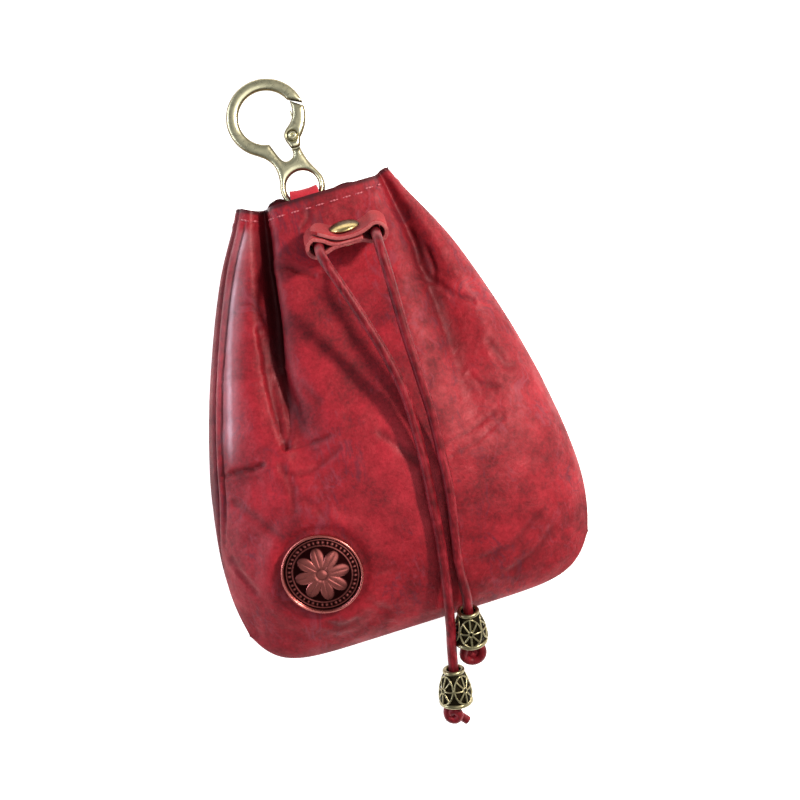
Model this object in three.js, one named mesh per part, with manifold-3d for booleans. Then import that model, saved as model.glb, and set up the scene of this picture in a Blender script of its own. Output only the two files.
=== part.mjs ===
// A small leather drawstring pouch with a ring clip, lying on its back.
// Millimetres, +Z up. The pouch's own frame has x across, y from the bottom seam to the mouth.

import * as THREE from 'three';
import { mergeVertices } from 'three/addons/utils/BufferGeometryUtils.js';
import Module from 'manifold-3d';

const wasm = await Module();
wasm.setup();

// Pouch outline
const widest = 111.8;
const wideAt = 27;
const mouthWidth = 52;
const mouthAt = 131;
const centreX = -1;
const bottomDrop = 30;
const bottomLean = 0.045;
const sideTaper = 1.69;
const cornerSquareness = 8;
const cornerAt = 9;

// Pouch thickness
const bellyPuff = 20.5;
const mouthPuff = 7.5;
const crownAt = 45;
const bellySeam = 8;
const mouthSeam = 5;
const leather = 1.6;
const hemDepth = 7;
const hemExtra = 0.7;
const seamGap = 0.3;
const skiving = 0.35;

// Clearances
const fit = 0.3;
const cordFit = 0.4;

// Drawstring, keeper and beads
const cordDiameter = 3;
const keeper = {
  x: 5, y: mouthAt - 16.1, z: 23.4, lean: 20, spacing: 17.2, bore: 4.4, strap: 1.6, width: 12, layers: 3,
};
const rivet = { cap: 9, capRise: 1.5, base: 7, baseRise: 1, shank: 3.2, hole: 1.3 };
const bead = {
  height: 12.5, top: 6, belly: 10, bellyAt: 2.6, foot: 8.8, wall: 0.9, bore: 3.9,
  windows: 8, windowAt: 5.2, windowHalf: 2.4,
};
const knot = { ring: 2.3, thick: 1.55 };

// Medallion
const medal = {
  x: -27.4, y: 20.6, diameter: 24.5, rim: 1.9, crown: 2.6, post: 3.2,
  screw: 1.8, screwHead: 7, screwHeadHeight: 1.1,
};

// Hanging loop and clip
const strap = {
  thickness: 1.5, legWidth: 10.4, foldWidth: 7.8, legEnd: mouthAt - 12, foldIn: 2.1, foldReach: 2.4,
};
const clip = {
  x: -4, y: mouthAt + 2.6, pivotZ: 6.2, turn: 12.9, thick: 2.8, round: 0.6,
  ringOut: 12.1, ringIn: 8.4, reach: 24.1, eyeOut: 6.8, eyeIn: 5, tipIn: 13, tipOut: -6, tipGap: 4,
};
const gate = {
  pinX: 4.5, pinY: -8.8, pinDiameter: 2.3, pinBore: 1.1, pinFit: 0.25, baseRadius: 3.9,
  tongue: 1, tongueRadius: 2.1, springX: 2.9, springWire: 0.7,
};

const clamp = (t) => Math.min(1, Math.max(0, t));
const mix = (a, b, t) => a + (b - a) * t;
const ease = (t) => clamp(t) ** 2 * (3 - 2 * clamp(t));
const rad = (degrees) => degrees * Math.PI / 180;
const softMax = (a, b) => (a + b + Math.sqrt((a - b) ** 2 + 9)) / 2;
const v3 = (x, y, z) => new THREE.Vector3(x, y, z);

// A smooth line through a few [height share, value] points, flat beyond its ends
function along(points, h) {
  const last = points.length - 1;
  if (h <= points[0][0]) return points[0][1];
  if (h >= points[last][0]) return points[last][1];
  const i = points.findIndex((p, k) => k < last && h < points[k + 1][0]);
  const slope = (k) => {
    const a = points[Math.max(0, k - 1)];
    const b = points[Math.min(last, k + 1)];
    return (b[1] - a[1]) / (b[0] - a[0]);
  };
  const [h0, a] = points[i];
  const [h1, b] = points[i + 1];
  const t = (h - h0) / (h1 - h0);
  const span = h1 - h0;
  return a * (1 + 2 * t) * (1 - t) ** 2 + b * t * t * (3 - 2 * t)
    + slope(i) * span * t * (1 - t) ** 2 - slope(i + 1) * span * t * t * (1 - t);
}

// The two pleats beside the front's middle: line is a share of the half width, depth and widths are mm
const leftPleat = {
  line: [[0.35, -0.36], [0.46, -0.43], [0.62, -0.5], [0.75, -0.52], [0.9, -0.57], [1, -0.63]],
  depth: [[0.34, 0], [0.46, 3], [0.62, 8], [0.75, 10], [0.87, 8.5], [1, 6.5]],
  outer: [[0.4, 8], [0.62, 6], [0.8, 4.5], [1, 3.2]],
  inner: [[0.4, 7], [0.62, 4.4], [0.8, 3.4], [1, 3.2]],
};
const rightPleat = {
  line: [[0.4, 0.55], [0.6, 0.58], [0.8, 0.66], [0.93, 0.76], [1, 0.84]],
  depth: [[0.32, 0], [0.45, 2.5], [0.62, 6], [0.8, 6], [0.9, 5], [1, 3.6]],
  outer: [[0.4, 11], [0.62, 10], [0.8, 5.5], [0.93, 3.2], [1, 2.6]],
  inner: [[0.4, 8], [0.62, 5], [0.8, 3.6], [1, 2.8]],
};

function halfWidth(y) {
  const rise = Math.max(0, (y - wideAt) / (mouthAt - wideAt));
  const fall = Math.max(0, (wideAt - y) / bottomDrop);
  const belly = widest / 2 * (1 - fall ** 2.05) ** (1 / cornerSquareness);
  return belly - (widest - mouthWidth) / 2 * rise ** sideTaper;
}

function bottomLine(u) {
  const share = Math.abs(u) * halfWidth(cornerAt) / (widest / 2);
  return wideAt - bottomDrop * (1 - share ** cornerSquareness) ** (1 / 2.05);
}

const seamHeight = (y) => mix(bellySeam, mouthSeam, ease((y - 55) / (mouthAt - 55)));

function frontPuff(y) {
  const climb = clamp((y - crownAt) / (mouthAt - crownAt));
  return mix(bellyPuff, mouthPuff, climb ** 1.5);
}

function pleatDepth(pleat, u, y) {
  const h = y / mouthAt;
  const off = (u - along(pleat.line, h)) * halfWidth(y);
  const outward = off * Math.sign(along(pleat.line, h)) > 0;
  return along(pleat.depth, h) * Math.exp(-((off / along(outward ? pleat.outer : pleat.inner, h)) ** 2));
}

function domeHeight(u, y, up) {
  const across = Math.max(0, 1 - Math.abs(u) ** 2.4) ** 0.55;
  const upward = (1 - (1 - clamp(up / 48)) ** 2.2) ** 0.72;
  return seamHeight(y) + frontPuff(y) * across * upward;
}

function foldedHeight(u, y, up) {
  const pleats = pleatDepth(leftPleat, u, y) + pleatDepth(rightPleat, u, y);
  const x = centreX + u * halfWidth(y);
  const dent = 1.6 * Math.exp(-(((x - keeper.x) / 13) ** 2) - ((y - keeper.y) / 9) ** 2);
  const hollow = 1.5 * Math.exp(-(((x - 1) / 12) ** 2) - ((y - 88) / 20) ** 2);
  return domeHeight(u, y, up) - pleats - dent - hollow;
}

const uOf = (x, y) => (x - centreX) / halfWidth(y);

// The leather lies flat under the medallion
const leaned = (x, y) => y + bottomLean * x * (1 - ease(y / 50));
const unleaned = (x, y) => y - bottomLean * x * (1 - ease(y / 50));
const seatHeight = (x, y) => {
  const level = unleaned(x, y);
  return foldedHeight(uOf(x, level), level, level - bottomLine(uOf(x, level)));
};
const seat = {
  z: seatHeight(medal.x, medal.y) - 0.6,
  slopeX: (seatHeight(medal.x + 6, medal.y) - seatHeight(medal.x - 6, medal.y)) / 12,
  slopeY: (seatHeight(medal.x, medal.y + 6) - seatHeight(medal.x, medal.y - 6)) / 12,
};
const seatNormal = v3(-seat.slopeX, -seat.slopeY, 1).normalize();

function frontHeight(u, y, up) {
  const x = centreX + u * halfWidth(softMax(y, cornerAt));
  const offX = x - medal.x;
  const offY = leaned(x, y) - medal.y;
  const plane = seat.z + seat.slopeX * offX + seat.slopeY * offY;
  const far = Math.hypot(offX, offY) - medal.diameter / 2;
  return mix(plane, foldedHeight(u, y, up), ease((far - 1.5) / 7));
}

function backHeight(u, y, up) {
  const side = Math.max(0, Math.abs(u) - 0.6) / 0.4;
  const low = 1 - clamp(up / 20);
  const flat = Math.sqrt(Math.max(0, 1 - side ** 2)) * Math.sqrt(1 - low ** 2);
  return seamHeight(y) * (1 - flat);
}

function frontHem(u) {
  const lift = 1.2 * Math.exp(-(((u - 0.9) / 0.12) ** 2)) * (1 - u ** 8);
  return mouthAt - 0.9 + 0.8 * u + lift + (0.9 - 0.8 * Math.abs(u)) * u ** 8;
}

const backHem = (u) => mix(mouthAt + 1.2, frontHem(Math.sign(u)), u ** 8);

// A point of the skin: turn is 0 at the front's middle, 90 degrees at the right edge, 180 at the back
function skin(turn, v, height = frontHeight) {
  const u = Math.sin(turn);
  const front = Math.cos(turn) > 0;
  const low = bottomLine(u);
  const y = mix(low, front ? frontHem(u) : backHem(u), v);
  const x = centreX + u * halfWidth(softMax(y, cornerAt));
  const z = (front ? height : backHeight)(u, y, y - low);
  return v3(x, leaned(x, y), z);
}

// Outward direction of the unfolded skin, level along the bottom seam
function across(turn, v, step = 0.004) {
  const smooth = (t, share) => skin(t, clamp(share), domeHeight);
  const rise = smooth(turn, v + step).sub(smooth(turn, v - step));
  const wide = smooth(turn + step, v).sub(smooth(turn - step, v));
  const normal = wide.cross(rise).normalize();
  const u = Math.sin(turn);
  const climb = bottomLine(Math.min(1, u + step)) - bottomLine(Math.max(-1, u - step));
  const run = climb / (step * widest);
  const level = Math.abs(u) > 0.999 ? v3(Math.sign(u), 0, 0) : v3(run, -1, 0).normalize();
  return level.lerp(normal, clamp(v / 0.05)).normalize();
}

// One panel of the shell; side is 1 for the front and -1 for the back
function shellGeometry(turnAt, side) {
  const outer = [];
  const inner = [];
  for (let i = 0; i <= rows; i++) {
    const v = (i / rows) ** 1.3;
    for (let j = 0; j <= columns; j++) {
      const turn = turnAt(j, v);
      const point = skin(turn, v);
      const fromSeam = v3();
      if (i > 0 && (j === 0 || j === columns)) {
        const inward = j === 0 ? 0.01 : -0.01;
        fromSeam.subVectors(skin(turn + inward, v), point).normalize();
        point.addScaledVector(fromSeam, seamGap / 2);
      }
      if (i === 0) {
        const edge = skin(turn, 0);
        const step = skin(turn, 0.004).sub(edge).normalize();
        point.addScaledVector(step, seamGap / 2);
        if (Math.abs(step.z) < 0.5) point.z += side * seamGap / 2;
      }
      const wall = (leather + hemExtra * ease((v * mouthAt - (mouthAt - hemDepth)) / 2))
        * (1 - skiving * Math.sin(turn) ** 12);
      outer.push(point);
      inner.push(point.clone().addScaledVector(across(turn, v), -wall).addScaledVector(fromSeam, seamGap));
    }
  }
  const points = outer.concat(inner);
  const count = outer.length;
  const at = (i, j, deep) => i * (columns + 1) + j + (deep ? count : 0);
  const faces = [];
  const quad = (a, b, c, d) => faces.push(a, b, c, a, c, d);
  for (let i = 0; i < rows; i++) {
    for (let j = 0; j < columns; j++) {
      quad(at(i, j), at(i, j + 1), at(i + 1, j + 1), at(i + 1, j));
      quad(at(i + 1, j, 1), at(i + 1, j + 1, 1), at(i, j + 1, 1), at(i, j, 1));
    }
    quad(at(i, 0, 1), at(i, 0), at(i + 1, 0), at(i + 1, 0, 1));
    quad(at(i, columns), at(i, columns, 1), at(i + 1, columns, 1), at(i + 1, columns));
  }
  for (let j = 0; j < columns; j++) {
    quad(at(0, j, 1), at(0, j + 1, 1), at(0, j + 1), at(0, j));
    quad(at(rows, j), at(rows, j + 1), at(rows, j + 1, 1), at(rows, j, 1));
  }
  const geometry = new THREE.BufferGeometry();
  const places = points.flatMap((p) => p.toArray());
  geometry.setAttribute('position', new THREE.Float32BufferAttribute(places, 3));
  geometry.setIndex(faces);
  return geometry;
}

// The side seams sit a little towards the front on the left and towards the back on the right
const seamTurnLeft = (v) => rad(17) * ease((v - 0.08) / 0.3);
const seamTurnRight = (v) => rad(12) * ease((v - 0.08) / 0.3);

// Columns gather at the pleats so that a coarse grid still follows them
const columnCounts = [4, 3, 3, 7, 3, 3, 4];
const columns = columnCounts.reduce((a, b) => a + b, 0);
const rows = 22;

function frontTurn(j, v) {
  const h = v * 0.98;
  const wide = halfWidth(h * mouthAt);
  const reach = (pleat, side, times) => along(pleat[side], h) * times / wide;
  const left = along(leftPleat.line, h);
  const right = along(rightPleat.line, h);
  const stops = [
    -Math.PI / 2 + seamTurnLeft(v),
    Math.asin(Math.max(-0.9, left - reach(leftPleat, 'outer', 1.7))),
    Math.asin(left),
    Math.asin(left + reach(leftPleat, 'inner', 1.7)),
    Math.asin(right - reach(rightPleat, 'inner', 1.7)),
    Math.asin(right),
    Math.asin(Math.min(0.96, right + reach(rightPleat, 'outer', 1.7))),
    Math.PI / 2 + seamTurnRight(v),
  ];
  let k = 0;
  while (k < 6 && j > columnCounts[k]) j -= columnCounts[k++];
  return mix(stops[k], stops[k + 1], j / columnCounts[k]);
}

function backTurn(j, v) {
  const first = frontTurn(0, v);
  const last = frontTurn(columns, v);
  const share = (frontTurn(columns - j, v) - first) / (last - first);
  return mix(2 * Math.PI + first, last, share);
}

function toSolid(geometry) {
  const bare = geometry.clone();
  bare.deleteAttribute('normal');
  bare.deleteAttribute('uv');
  const merged = mergeVertices(bare, 1e-4);
  const mesh = new wasm.Mesh({
    numProp: 3,
    vertProperties: new Float32Array(merged.attributes.position.array),
    triVerts: new Uint32Array(merged.index.array),
  });
  return new wasm.Manifold(mesh);
}

function toGeometry(solid) {
  const mesh = solid.getMesh();
  const geometry = new THREE.BufferGeometry();
  geometry.setAttribute('position', new THREE.BufferAttribute(mesh.vertProperties, 3));
  geometry.setIndex(new THREE.BufferAttribute(mesh.triVerts, 1));
  return geometry;
}

const placed = (geometry, matrix) => toSolid(geometry.clone().applyMatrix4(matrix));

function cylinder(radius, height, sides = 20) {
  return new THREE.CylinderGeometry(radius, radius, height, sides).rotateX(Math.PI / 2);
}

function tube(points, radius, sides, steps) {
  const section = new THREE.Shape();
  for (let k = 0; k < sides; k++) {
    const a = 2 * Math.PI * k / sides;
    section[k ? 'lineTo' : 'moveTo'](radius * Math.cos(a), radius * Math.sin(a));
  }
  section.closePath();
  const path = new THREE.CatmullRomCurve3(points, false, 'centripetal');
  return new THREE.ExtrudeGeometry(section, { steps, extrudePath: path, curveSegments: 1 });
}

function lathe(profile, segments = 24) {
  const geometry = new THREE.LatheGeometry(profile.map(([r, z]) => new THREE.Vector2(r, z)), segments);
  return geometry.rotateX(Math.PI / 2);
}

function aimed(direction, position, roll = 0) {
  const turn = new THREE.Quaternion().setFromUnitVectors(v3(0, 0, 1), direction.clone().normalize());
  turn.multiply(new THREE.Quaternion().setFromAxisAngle(v3(0, 0, 1), roll));
  return new THREE.Matrix4().compose(position, turn, v3(1, 1, 1));
}

// Keeper's frame: its tunnels run along tunnelAxis, its rivet along capAxis
const tunnelAxis = v3(0, -Math.sin(rad(keeper.lean)), Math.cos(rad(keeper.lean)));
const capAxis = v3(0, Math.cos(rad(keeper.lean)), Math.sin(rad(keeper.lean)));
const keeperAt = v3(keeper.x, keeper.y, keeper.z);
const keeperFrame = new THREE.Matrix4()
  .makeBasis(v3(1, 0, 0), capAxis, tunnelAxis.clone())
  .setPosition(keeperAt);
const tunnelPoint = (side, up) => keeperAt.clone()
  .add(v3(side * keeper.spacing / 2, 0, 0)).addScaledVector(tunnelAxis, up);

// The drawstring's route, chosen by hand: left bead's end, keeper, inside the mouth, keeper, right bead's end
const leftRun = [
  [4.8, -4.9, 16.3], [6.4, 2.8, 20], [7.8, 15, 25], [8.7, 23.2, 27.7], [9.2, 33.2, 29.8],
  [9.8, 43, 31], [10, 53, 32], [9.6, 64.5, 33.2], [7.7, 75.2, 34.2], [4.6, 86, 35.1], [1.4, 95.8, 35.7],
  [-1, 102.5, 36.2], [-2.3, 106.2, 36.6], [-3.3, 109.2, 35.2],
];
const innerRun = [
  [-3.6, 118.1, 13.8], [-4.9, 118.6, 11.3], [-8, 118.6, 9.8], [-12.5, 118, 10.2], [-16.5, 117.6, 11.2],
  [-19.5, 117.4, 11.2], [-23, 117, 9.9], [-27, 115.6, 7.6], [-29.6, 112.2, 5.6], [-28.8, 107.6, 4.6],
  [-24.5, 105, 4.1], [-12, 104.5, 3.9], [0, 104.5, 3.9], [12, 104.5, 3.9], [21, 104.8, 4],
  [26, 107.2, 4.6], [28, 111.4, 5.8], [26.9, 115.4, 7.6], [23.8, 117.4, 9.6], [20.4, 118.2, 10.4],
  [17, 118.6, 10.2], [14.6, 118.5, 11.7], [13.6, 118, 14.2],
];
const rightRun = [
  [13.6, 109.2, 35.2], [13.7, 106.2, 36.7], [13.9, 102, 36.9], [14.1, 94, 36.2], [14.3, 83, 35.5],
  [15, 70, 34.6], [15.6, 57, 32.8], [15.3, 45, 31.4], [14.8, 34, 30.1], [13.3, 22, 27.3], [12.3, 12.6, 23.7],
];
const beadLeft = { foot: v3(0.4, -29.8, 5.4), aim: v3(1.4, 9.9, 3.7).normalize() };
const beadRight = { foot: v3(9.6, -13.2, 8.4), aim: v3(1.6, 10.5, 6.2).normalize() };
const throughBead = ({ foot, aim }) => [-1, 4, 9, 14, bead.height + 5.5]
  .map((t) => foot.clone().addScaledVector(aim, t));
const cordPoints = [
  ...throughBead(beadLeft),
  ...leftRun.map((p) => v3(...p)),
  tunnelPoint(-1, 10), tunnelPoint(-1, 6), tunnelPoint(-1, 0), tunnelPoint(-1, -6),
  ...innerRun.map((p) => v3(...p)),
  tunnelPoint(1, -6), tunnelPoint(1, 0), tunnelPoint(1, 6), tunnelPoint(1, 10),
  ...rightRun.map((p) => v3(...p)),
  ...throughBead(beadRight).reverse(),
];
const cordSteps = 80;
const mouthBlock = toSolid(new THREE.BoxGeometry(80, 24, 16.5).translate(0, mouthAt - 20, 8.75));
const cordSpace = toSolid(tube(cordPoints, cordDiameter / 2 + cordFit, 8, cordSteps));
const cordHole = cordSpace.intersect(mouthBlock);

// Leather shell, front and back
const postFrame = aimed(seatNormal, v3(medal.x, medal.y, seat.z));
const postHole = placed(cylinder(medal.post / 2 + fit, 12), postFrame);
const frontPanel = toSolid(shellGeometry(frontTurn, 1)).subtract(cordHole).subtract(postHole);
const backPanel = toSolid(shellGeometry(backTurn, -1));

// Keeper: one strap wound into two loops and pinned in its middle
function keeperStrap() {
  const r = keeper.bore / 2 + keeper.strap;
  const half = keeper.strap * keeper.layers / 2;
  const a = Math.asin(half / r);
  const x = keeper.spacing / 2;
  const shape = new THREE.Shape();
  shape.absarc(x, 0, r, Math.PI + a, Math.PI - a + 2 * Math.PI, false);
  shape.absarc(-x, 0, r, a, 2 * Math.PI - a, false);
  shape.closePath();
  for (const side of [-1, 1]) {
    const hole = new THREE.Path();
    hole.absarc(side * x, 0, keeper.bore / 2, 0, 2 * Math.PI, true);
    shape.holes.push(hole);
  }
  const settings = { depth: keeper.width, bevelEnabled: false, curveSegments: 18 };
  const band = new THREE.ExtrudeGeometry(shape, settings);
  const hole = cylinder(rivet.shank / 2 + fit, 20).rotateX(Math.PI / 2);
  return toSolid(band.translate(0, 0, -keeper.width / 2)).subtract(toSolid(hole));
}

const stack = keeper.strap * keeper.layers / 2 + fit;
const capProfile = [
  [0, stack + rivet.capRise], [rivet.cap * 0.3, stack + rivet.capRise * 0.85],
  [rivet.cap * 0.46, stack + rivet.capRise * 0.4], [rivet.cap / 2, stack],
  [rivet.shank / 2, stack], [rivet.shank / 2, -stack + fit], [rivet.hole / 2, -stack + fit],
  [rivet.hole / 2, stack - 0.4], [0, stack - 0.4],
];
const baseProfile = [
  [0, stack - 0.9], [rivet.hole / 2 - fit, stack - 0.9], [rivet.hole / 2 - fit, -stack], [rivet.base / 2, -stack],
  [rivet.base * 0.42, -stack - rivet.baseRise * 0.7], [0, -stack - rivet.baseRise],
];

// Bead: a hollow cone-barrel with rims, pierced by windows
function beadSolid() {
  const { height, top, belly, bellyAt, foot, wall, bore, windows, windowAt, windowHalf } = bead;
  const profile = [
    [bore / 2, height], [top / 2 - 0.3, height], [top / 2, height - 0.5], [top / 2 - 0.1, height - 1.4],
    [belly / 2 - 0.5, height * 0.5], [belly / 2, bellyAt], [belly / 2, 1], [foot / 2, 0],
    [foot / 2 - wall - 0.4, 0], [belly / 2 - wall, 1.4], [belly / 2 - wall, bellyAt],
    [belly / 2 - 0.5 - wall, height * 0.5], [bore / 2, height - 2.2], [bore / 2, height],
  ];
  let solid = toSolid(lathe(profile.reverse(), 20));
  for (let k = 0; k < windows; k++) {
    const window = new THREE.CylinderGeometry(1, 1, 4, 8).rotateZ(Math.PI / 2).scale(1, 1.1, windowHalf)
      .translate(belly / 2 - 0.5, 0, windowAt).rotateZ(2 * Math.PI * k / windows);
    solid = solid.subtract(toSolid(window));
  }
  return solid;
}

function knotSolid(end, before) {
  const forward = end.clone().sub(before).normalize();
  const side = forward.clone().cross(v3(0, 0, 1)).normalize();
  const flat = aimed(side.clone().cross(forward), end.clone()
    .addScaledVector(forward, knot.ring + knot.thick + fit));
  return placed(new THREE.TorusGeometry(knot.ring, knot.thick, 10, 18), flat);
}

// Medallion: a domed disc with a raised rim on a short threaded post, and its screw inside
const postLength = leather + 1.8;
const recess = medal.rim - 0.7;
const medalProfile = [
  [0, medal.crown], [medal.diameter * 0.25, medal.crown - 0.35], [medal.diameter * 0.4, recess],
  [medal.diameter * 0.44, recess], [medal.diameter * 0.455, medal.rim], [medal.diameter * 0.485, medal.rim],
  [medal.diameter / 2, recess], [medal.diameter / 2, fit], [medal.post / 2, fit],
  [medal.post / 2, -postLength], [medal.screw / 2 + fit, -postLength],
  [medal.screw / 2 + fit, -0.6], [0, -0.6],
];
const headTop = -postLength - fit;
const headEnd = headTop - medal.screwHeadHeight;
const screwProfile = [
  [0, -1.2], [medal.screw / 2, -1.2], [medal.screw / 2, headTop],
  [medal.screwHead / 2, headTop], [medal.screwHead / 2 - 0.4, headEnd], [0, headEnd],
];

// Hanging loop: a strap folded through the clip's eye, its two legs laid together inside the mouth
const pivotY = clip.y - (clip.eyeOut + clip.eyeIn) / 2 + 0.9;

function hangingLoop() {
  const t = strap.thickness;
  const z = clip.pivotZ;
  const floor = leather + hemExtra + fit;
  const out = strap.foldIn + t;
  const outline = new THREE.Shape();
  outline.moveTo(strap.legEnd, floor);
  outline.lineTo(pivotY - 5, floor);
  outline.quadraticCurveTo(pivotY - 2, z - out, pivotY, z - out);
  outline.absellipse(pivotY, z, strap.foldReach + t, out, -Math.PI / 2, Math.PI / 2, false);
  outline.quadraticCurveTo(pivotY - 3, z + out, pivotY - 6, floor + 2 * t + 0.6);
  outline.lineTo(strap.legEnd, floor + 2 * t + 0.2);
  outline.lineTo(strap.legEnd, floor + t + 0.2);
  outline.lineTo(pivotY - 6.2, floor + t + 0.5);
  outline.quadraticCurveTo(pivotY - 3, z + strap.foldIn, pivotY, z + strap.foldIn);
  outline.absellipse(pivotY, z, strap.foldReach, strap.foldIn, Math.PI / 2, -Math.PI / 2, true);
  outline.quadraticCurveTo(pivotY - 2, z - strap.foldIn, pivotY - 5, floor + t);
  outline.lineTo(strap.legEnd, floor + t);
  const half = strap.legWidth / 2;
  const settings = { depth: strap.legWidth, bevelEnabled: false, curveSegments: 8 };
  const band = new THREE.ExtrudeGeometry(outline, settings);
  const upright = new THREE.Matrix4().makeBasis(v3(0, 1, 0), v3(0, 0, 1), v3(1, 0, 0));
  band.translate(0, 0, -half).applyMatrix4(upright);
  const plan = new THREE.Shape();
  const waist = strap.foldWidth / 2;
  plan.moveTo(-half, strap.legEnd - 1);
  plan.lineTo(half, strap.legEnd - 1);
  plan.lineTo(half, pivotY - 3.5);
  plan.quadraticCurveTo(half - 0.2, pivotY - 0.5, waist, pivotY + 0.8);
  plan.lineTo(waist, pivotY + 9);
  plan.lineTo(-waist, pivotY + 9);
  plan.lineTo(-waist, pivotY + 0.8);
  plan.quadraticCurveTo(-half + 0.2, pivotY - 0.5, -half, pivotY - 3.5);
  const trim = new THREE.ExtrudeGeometry(plan, { depth: 40, bevelEnabled: false, curveSegments: 5 });
  return toSolid(band).intersect(toSolid(trim.translate(0, 0, -10))).translate([clip.x, 0, 0]);
}

// Clip's plane: origin at the ring's centre, y away from the eye, the plate centred on z = 0
const eyeY = -clip.reach;

// An outline as points at least a step apart, so that its bevel stays clean
function tidyOutline(shape, step = 0.75) {
  const thin = (list) => {
    const kept = [list[0]];
    for (const p of list) {
      if (p.distanceTo(kept.at(-1)) > step && p.distanceTo(list[0]) > step) kept.push(p);
    }
    return kept;
  };
  const { shape: points, holes } = shape.extractPoints(16);
  const tidy = new THREE.Shape(thin(points));
  tidy.holes = holes.map((hole) => new THREE.Path(thin(hole)));
  return tidy;
}

function plate(shape) {
  const settings = {
    depth: clip.thick - 2 * clip.round,
    bevelEnabled: true,
    bevelThickness: clip.round,
    bevelSize: clip.round,
    bevelOffset: -clip.round,
    bevelSegments: 1,
  };
  return new THREE.ExtrudeGeometry(tidyOutline(shape), settings).translate(0, 0, clip.round - clip.thick / 2);
}

const onRing = (radius, degrees) => [radius * Math.cos(rad(degrees)), radius * Math.sin(rad(degrees))];

function frameShape() {
  const shape = new THREE.Shape();
  const { ringOut, ringIn, eyeOut, eyeIn } = clip;
  shape.moveTo(...onRing(ringOut, clip.tipOut));
  shape.absarc(0, 0, ringOut, rad(clip.tipOut), rad(229), false);
  shape.bezierCurveTo(-5.2, -12, -3.4, -14.5, ...[-0.83 * eyeOut, eyeY + 0.56 * eyeOut]);
  shape.absarc(0, eyeY, eyeOut, rad(146), rad(365), false);
  shape.bezierCurveTo(6.2, eyeY + 3.6, 4.6, -18, 5.0, gate.pinY - gate.baseRadius - 0.35);
  shape.absarc(gate.pinX, gate.pinY, gate.baseRadius + fit, rad(-83), rad(-122), true);
  shape.bezierCurveTo(2.6, -13.8, 1.9, -15.1, -0.2, -15.1);
  shape.bezierCurveTo(-2.1, -15.1, -2.2, -12.6, ...onRing(ringIn, 250));
  shape.absarc(0, 0, ringIn, rad(250), rad(clip.tipIn), true);
  shape.closePath();
  const eye = new THREE.Path();
  eye.absarc(0, eyeY, eyeIn, 0, 2 * Math.PI, true);
  shape.holes.push(eye);
  return shape;
}

function gateShape() {
  const shape = new THREE.Shape();
  const { ringOut } = clip;
  shape.moveTo(...onRing(clip.ringIn + 0.4, clip.tipIn - clip.tipGap - 1));
  shape.bezierCurveTo(8.4, -2.2, 7.2, -4.2, 4.6, -5.6);
  shape.bezierCurveTo(2.6, -6.5, 1.6, -7.8, 2.2, -10.2);
  const [baseX, baseY] = onRing(gate.baseRadius, -122);
  shape.lineTo(gate.pinX + baseX, gate.pinY + baseY);
  shape.absarc(gate.pinX, gate.pinY, gate.baseRadius, rad(-122), rad(-83), false);
  shape.quadraticCurveTo(5.6, -12.3, ...onRing(ringOut, -58));
  shape.absarc(0, 0, ringOut, rad(-58), rad(clip.tipOut - clip.tipGap), false);
  shape.closePath();
  return shape;
}

const gateAt = (geometry) => geometry.translate(gate.pinX, gate.pinY, 0);
const slotHeight = gate.tongue + 2 * fit;

function gateSlot() {
  const head = toSolid(gateAt(cylinder(gate.tongueRadius + fit, slotHeight, 24)));
  const stem = new THREE.BoxGeometry(12, 6, slotHeight).translate(0, -3, 0).rotateZ(rad(-12));
  return head.add(toSolid(gateAt(stem)));
}

function tongue() {
  const head = toSolid(gateAt(cylinder(gate.tongueRadius, gate.tongue, 24)));
  const stem = new THREE.BoxGeometry(2.4, 5.4, gate.tongue).translate(0, -2.7, 0).rotateZ(rad(-12));
  return head.add(toSolid(gateAt(stem)));
}

const pinHole = toSolid(gateAt(cylinder(gate.pinDiameter / 2 + gate.pinFit, 12, 20)));
const clipFrame = toSolid(plate(frameShape())).add(tongue()).subtract(pinHole);
const springAt = gate.pinX + gate.springX;
const pocketWidth = gate.springWire + 0.8;
const springPocket = new THREE.BoxGeometry(pocketWidth, 7.2, gate.springWire + 0.9);
springPocket.translate(springAt, gate.pinY + 4.2, 0);
const clipGate = toSolid(plate(gateShape()))
  .subtract(gateSlot())
  .subtract(toSolid(springPocket))
  .subtract(pinHole);
const pinEnd = clip.thick / 2 + 0.1;
const pinProfile = [
  [gate.pinBore / 2, -pinEnd], [gate.pinDiameter / 2, -pinEnd],
  [gate.pinDiameter / 2, pinEnd], [gate.pinBore / 2, pinEnd],
  [gate.pinBore / 2, -pinEnd],
];
const spring = tube([
  v3(springAt, gate.pinY + 1.2, 0), v3(springAt + 0.1, gate.pinY + 3, 0),
  v3(springAt - 0.1, gate.pinY + 5, 0), v3(springAt, gate.pinY + 7.2, 0),
], gate.springWire / 2, 8, 8);

// The clip hangs back from its fold until the ring lies on the surface
const pivotAt = v3(clip.x, pivotY, clip.pivotZ);
const ringDrop = clip.pivotZ - clip.thick / 2 - 0.05;
const armReach = clip.reach + clip.ringOut + (clip.y - pivotY);
const clipFrameMatrix = new THREE.Matrix4().makeTranslation(pivotAt.x, pivotAt.y, pivotAt.z)
  .multiply(new THREE.Matrix4().makeRotationX(-Math.asin(ringDrop / armReach)))
  .multiply(new THREE.Matrix4().makeTranslation(0, clip.y - pivotY, 0))
  .multiply(new THREE.Matrix4().makeRotationZ(rad(clip.turn)))
  .multiply(new THREE.Matrix4().makeTranslation(0, clip.reach, 0));

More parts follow.
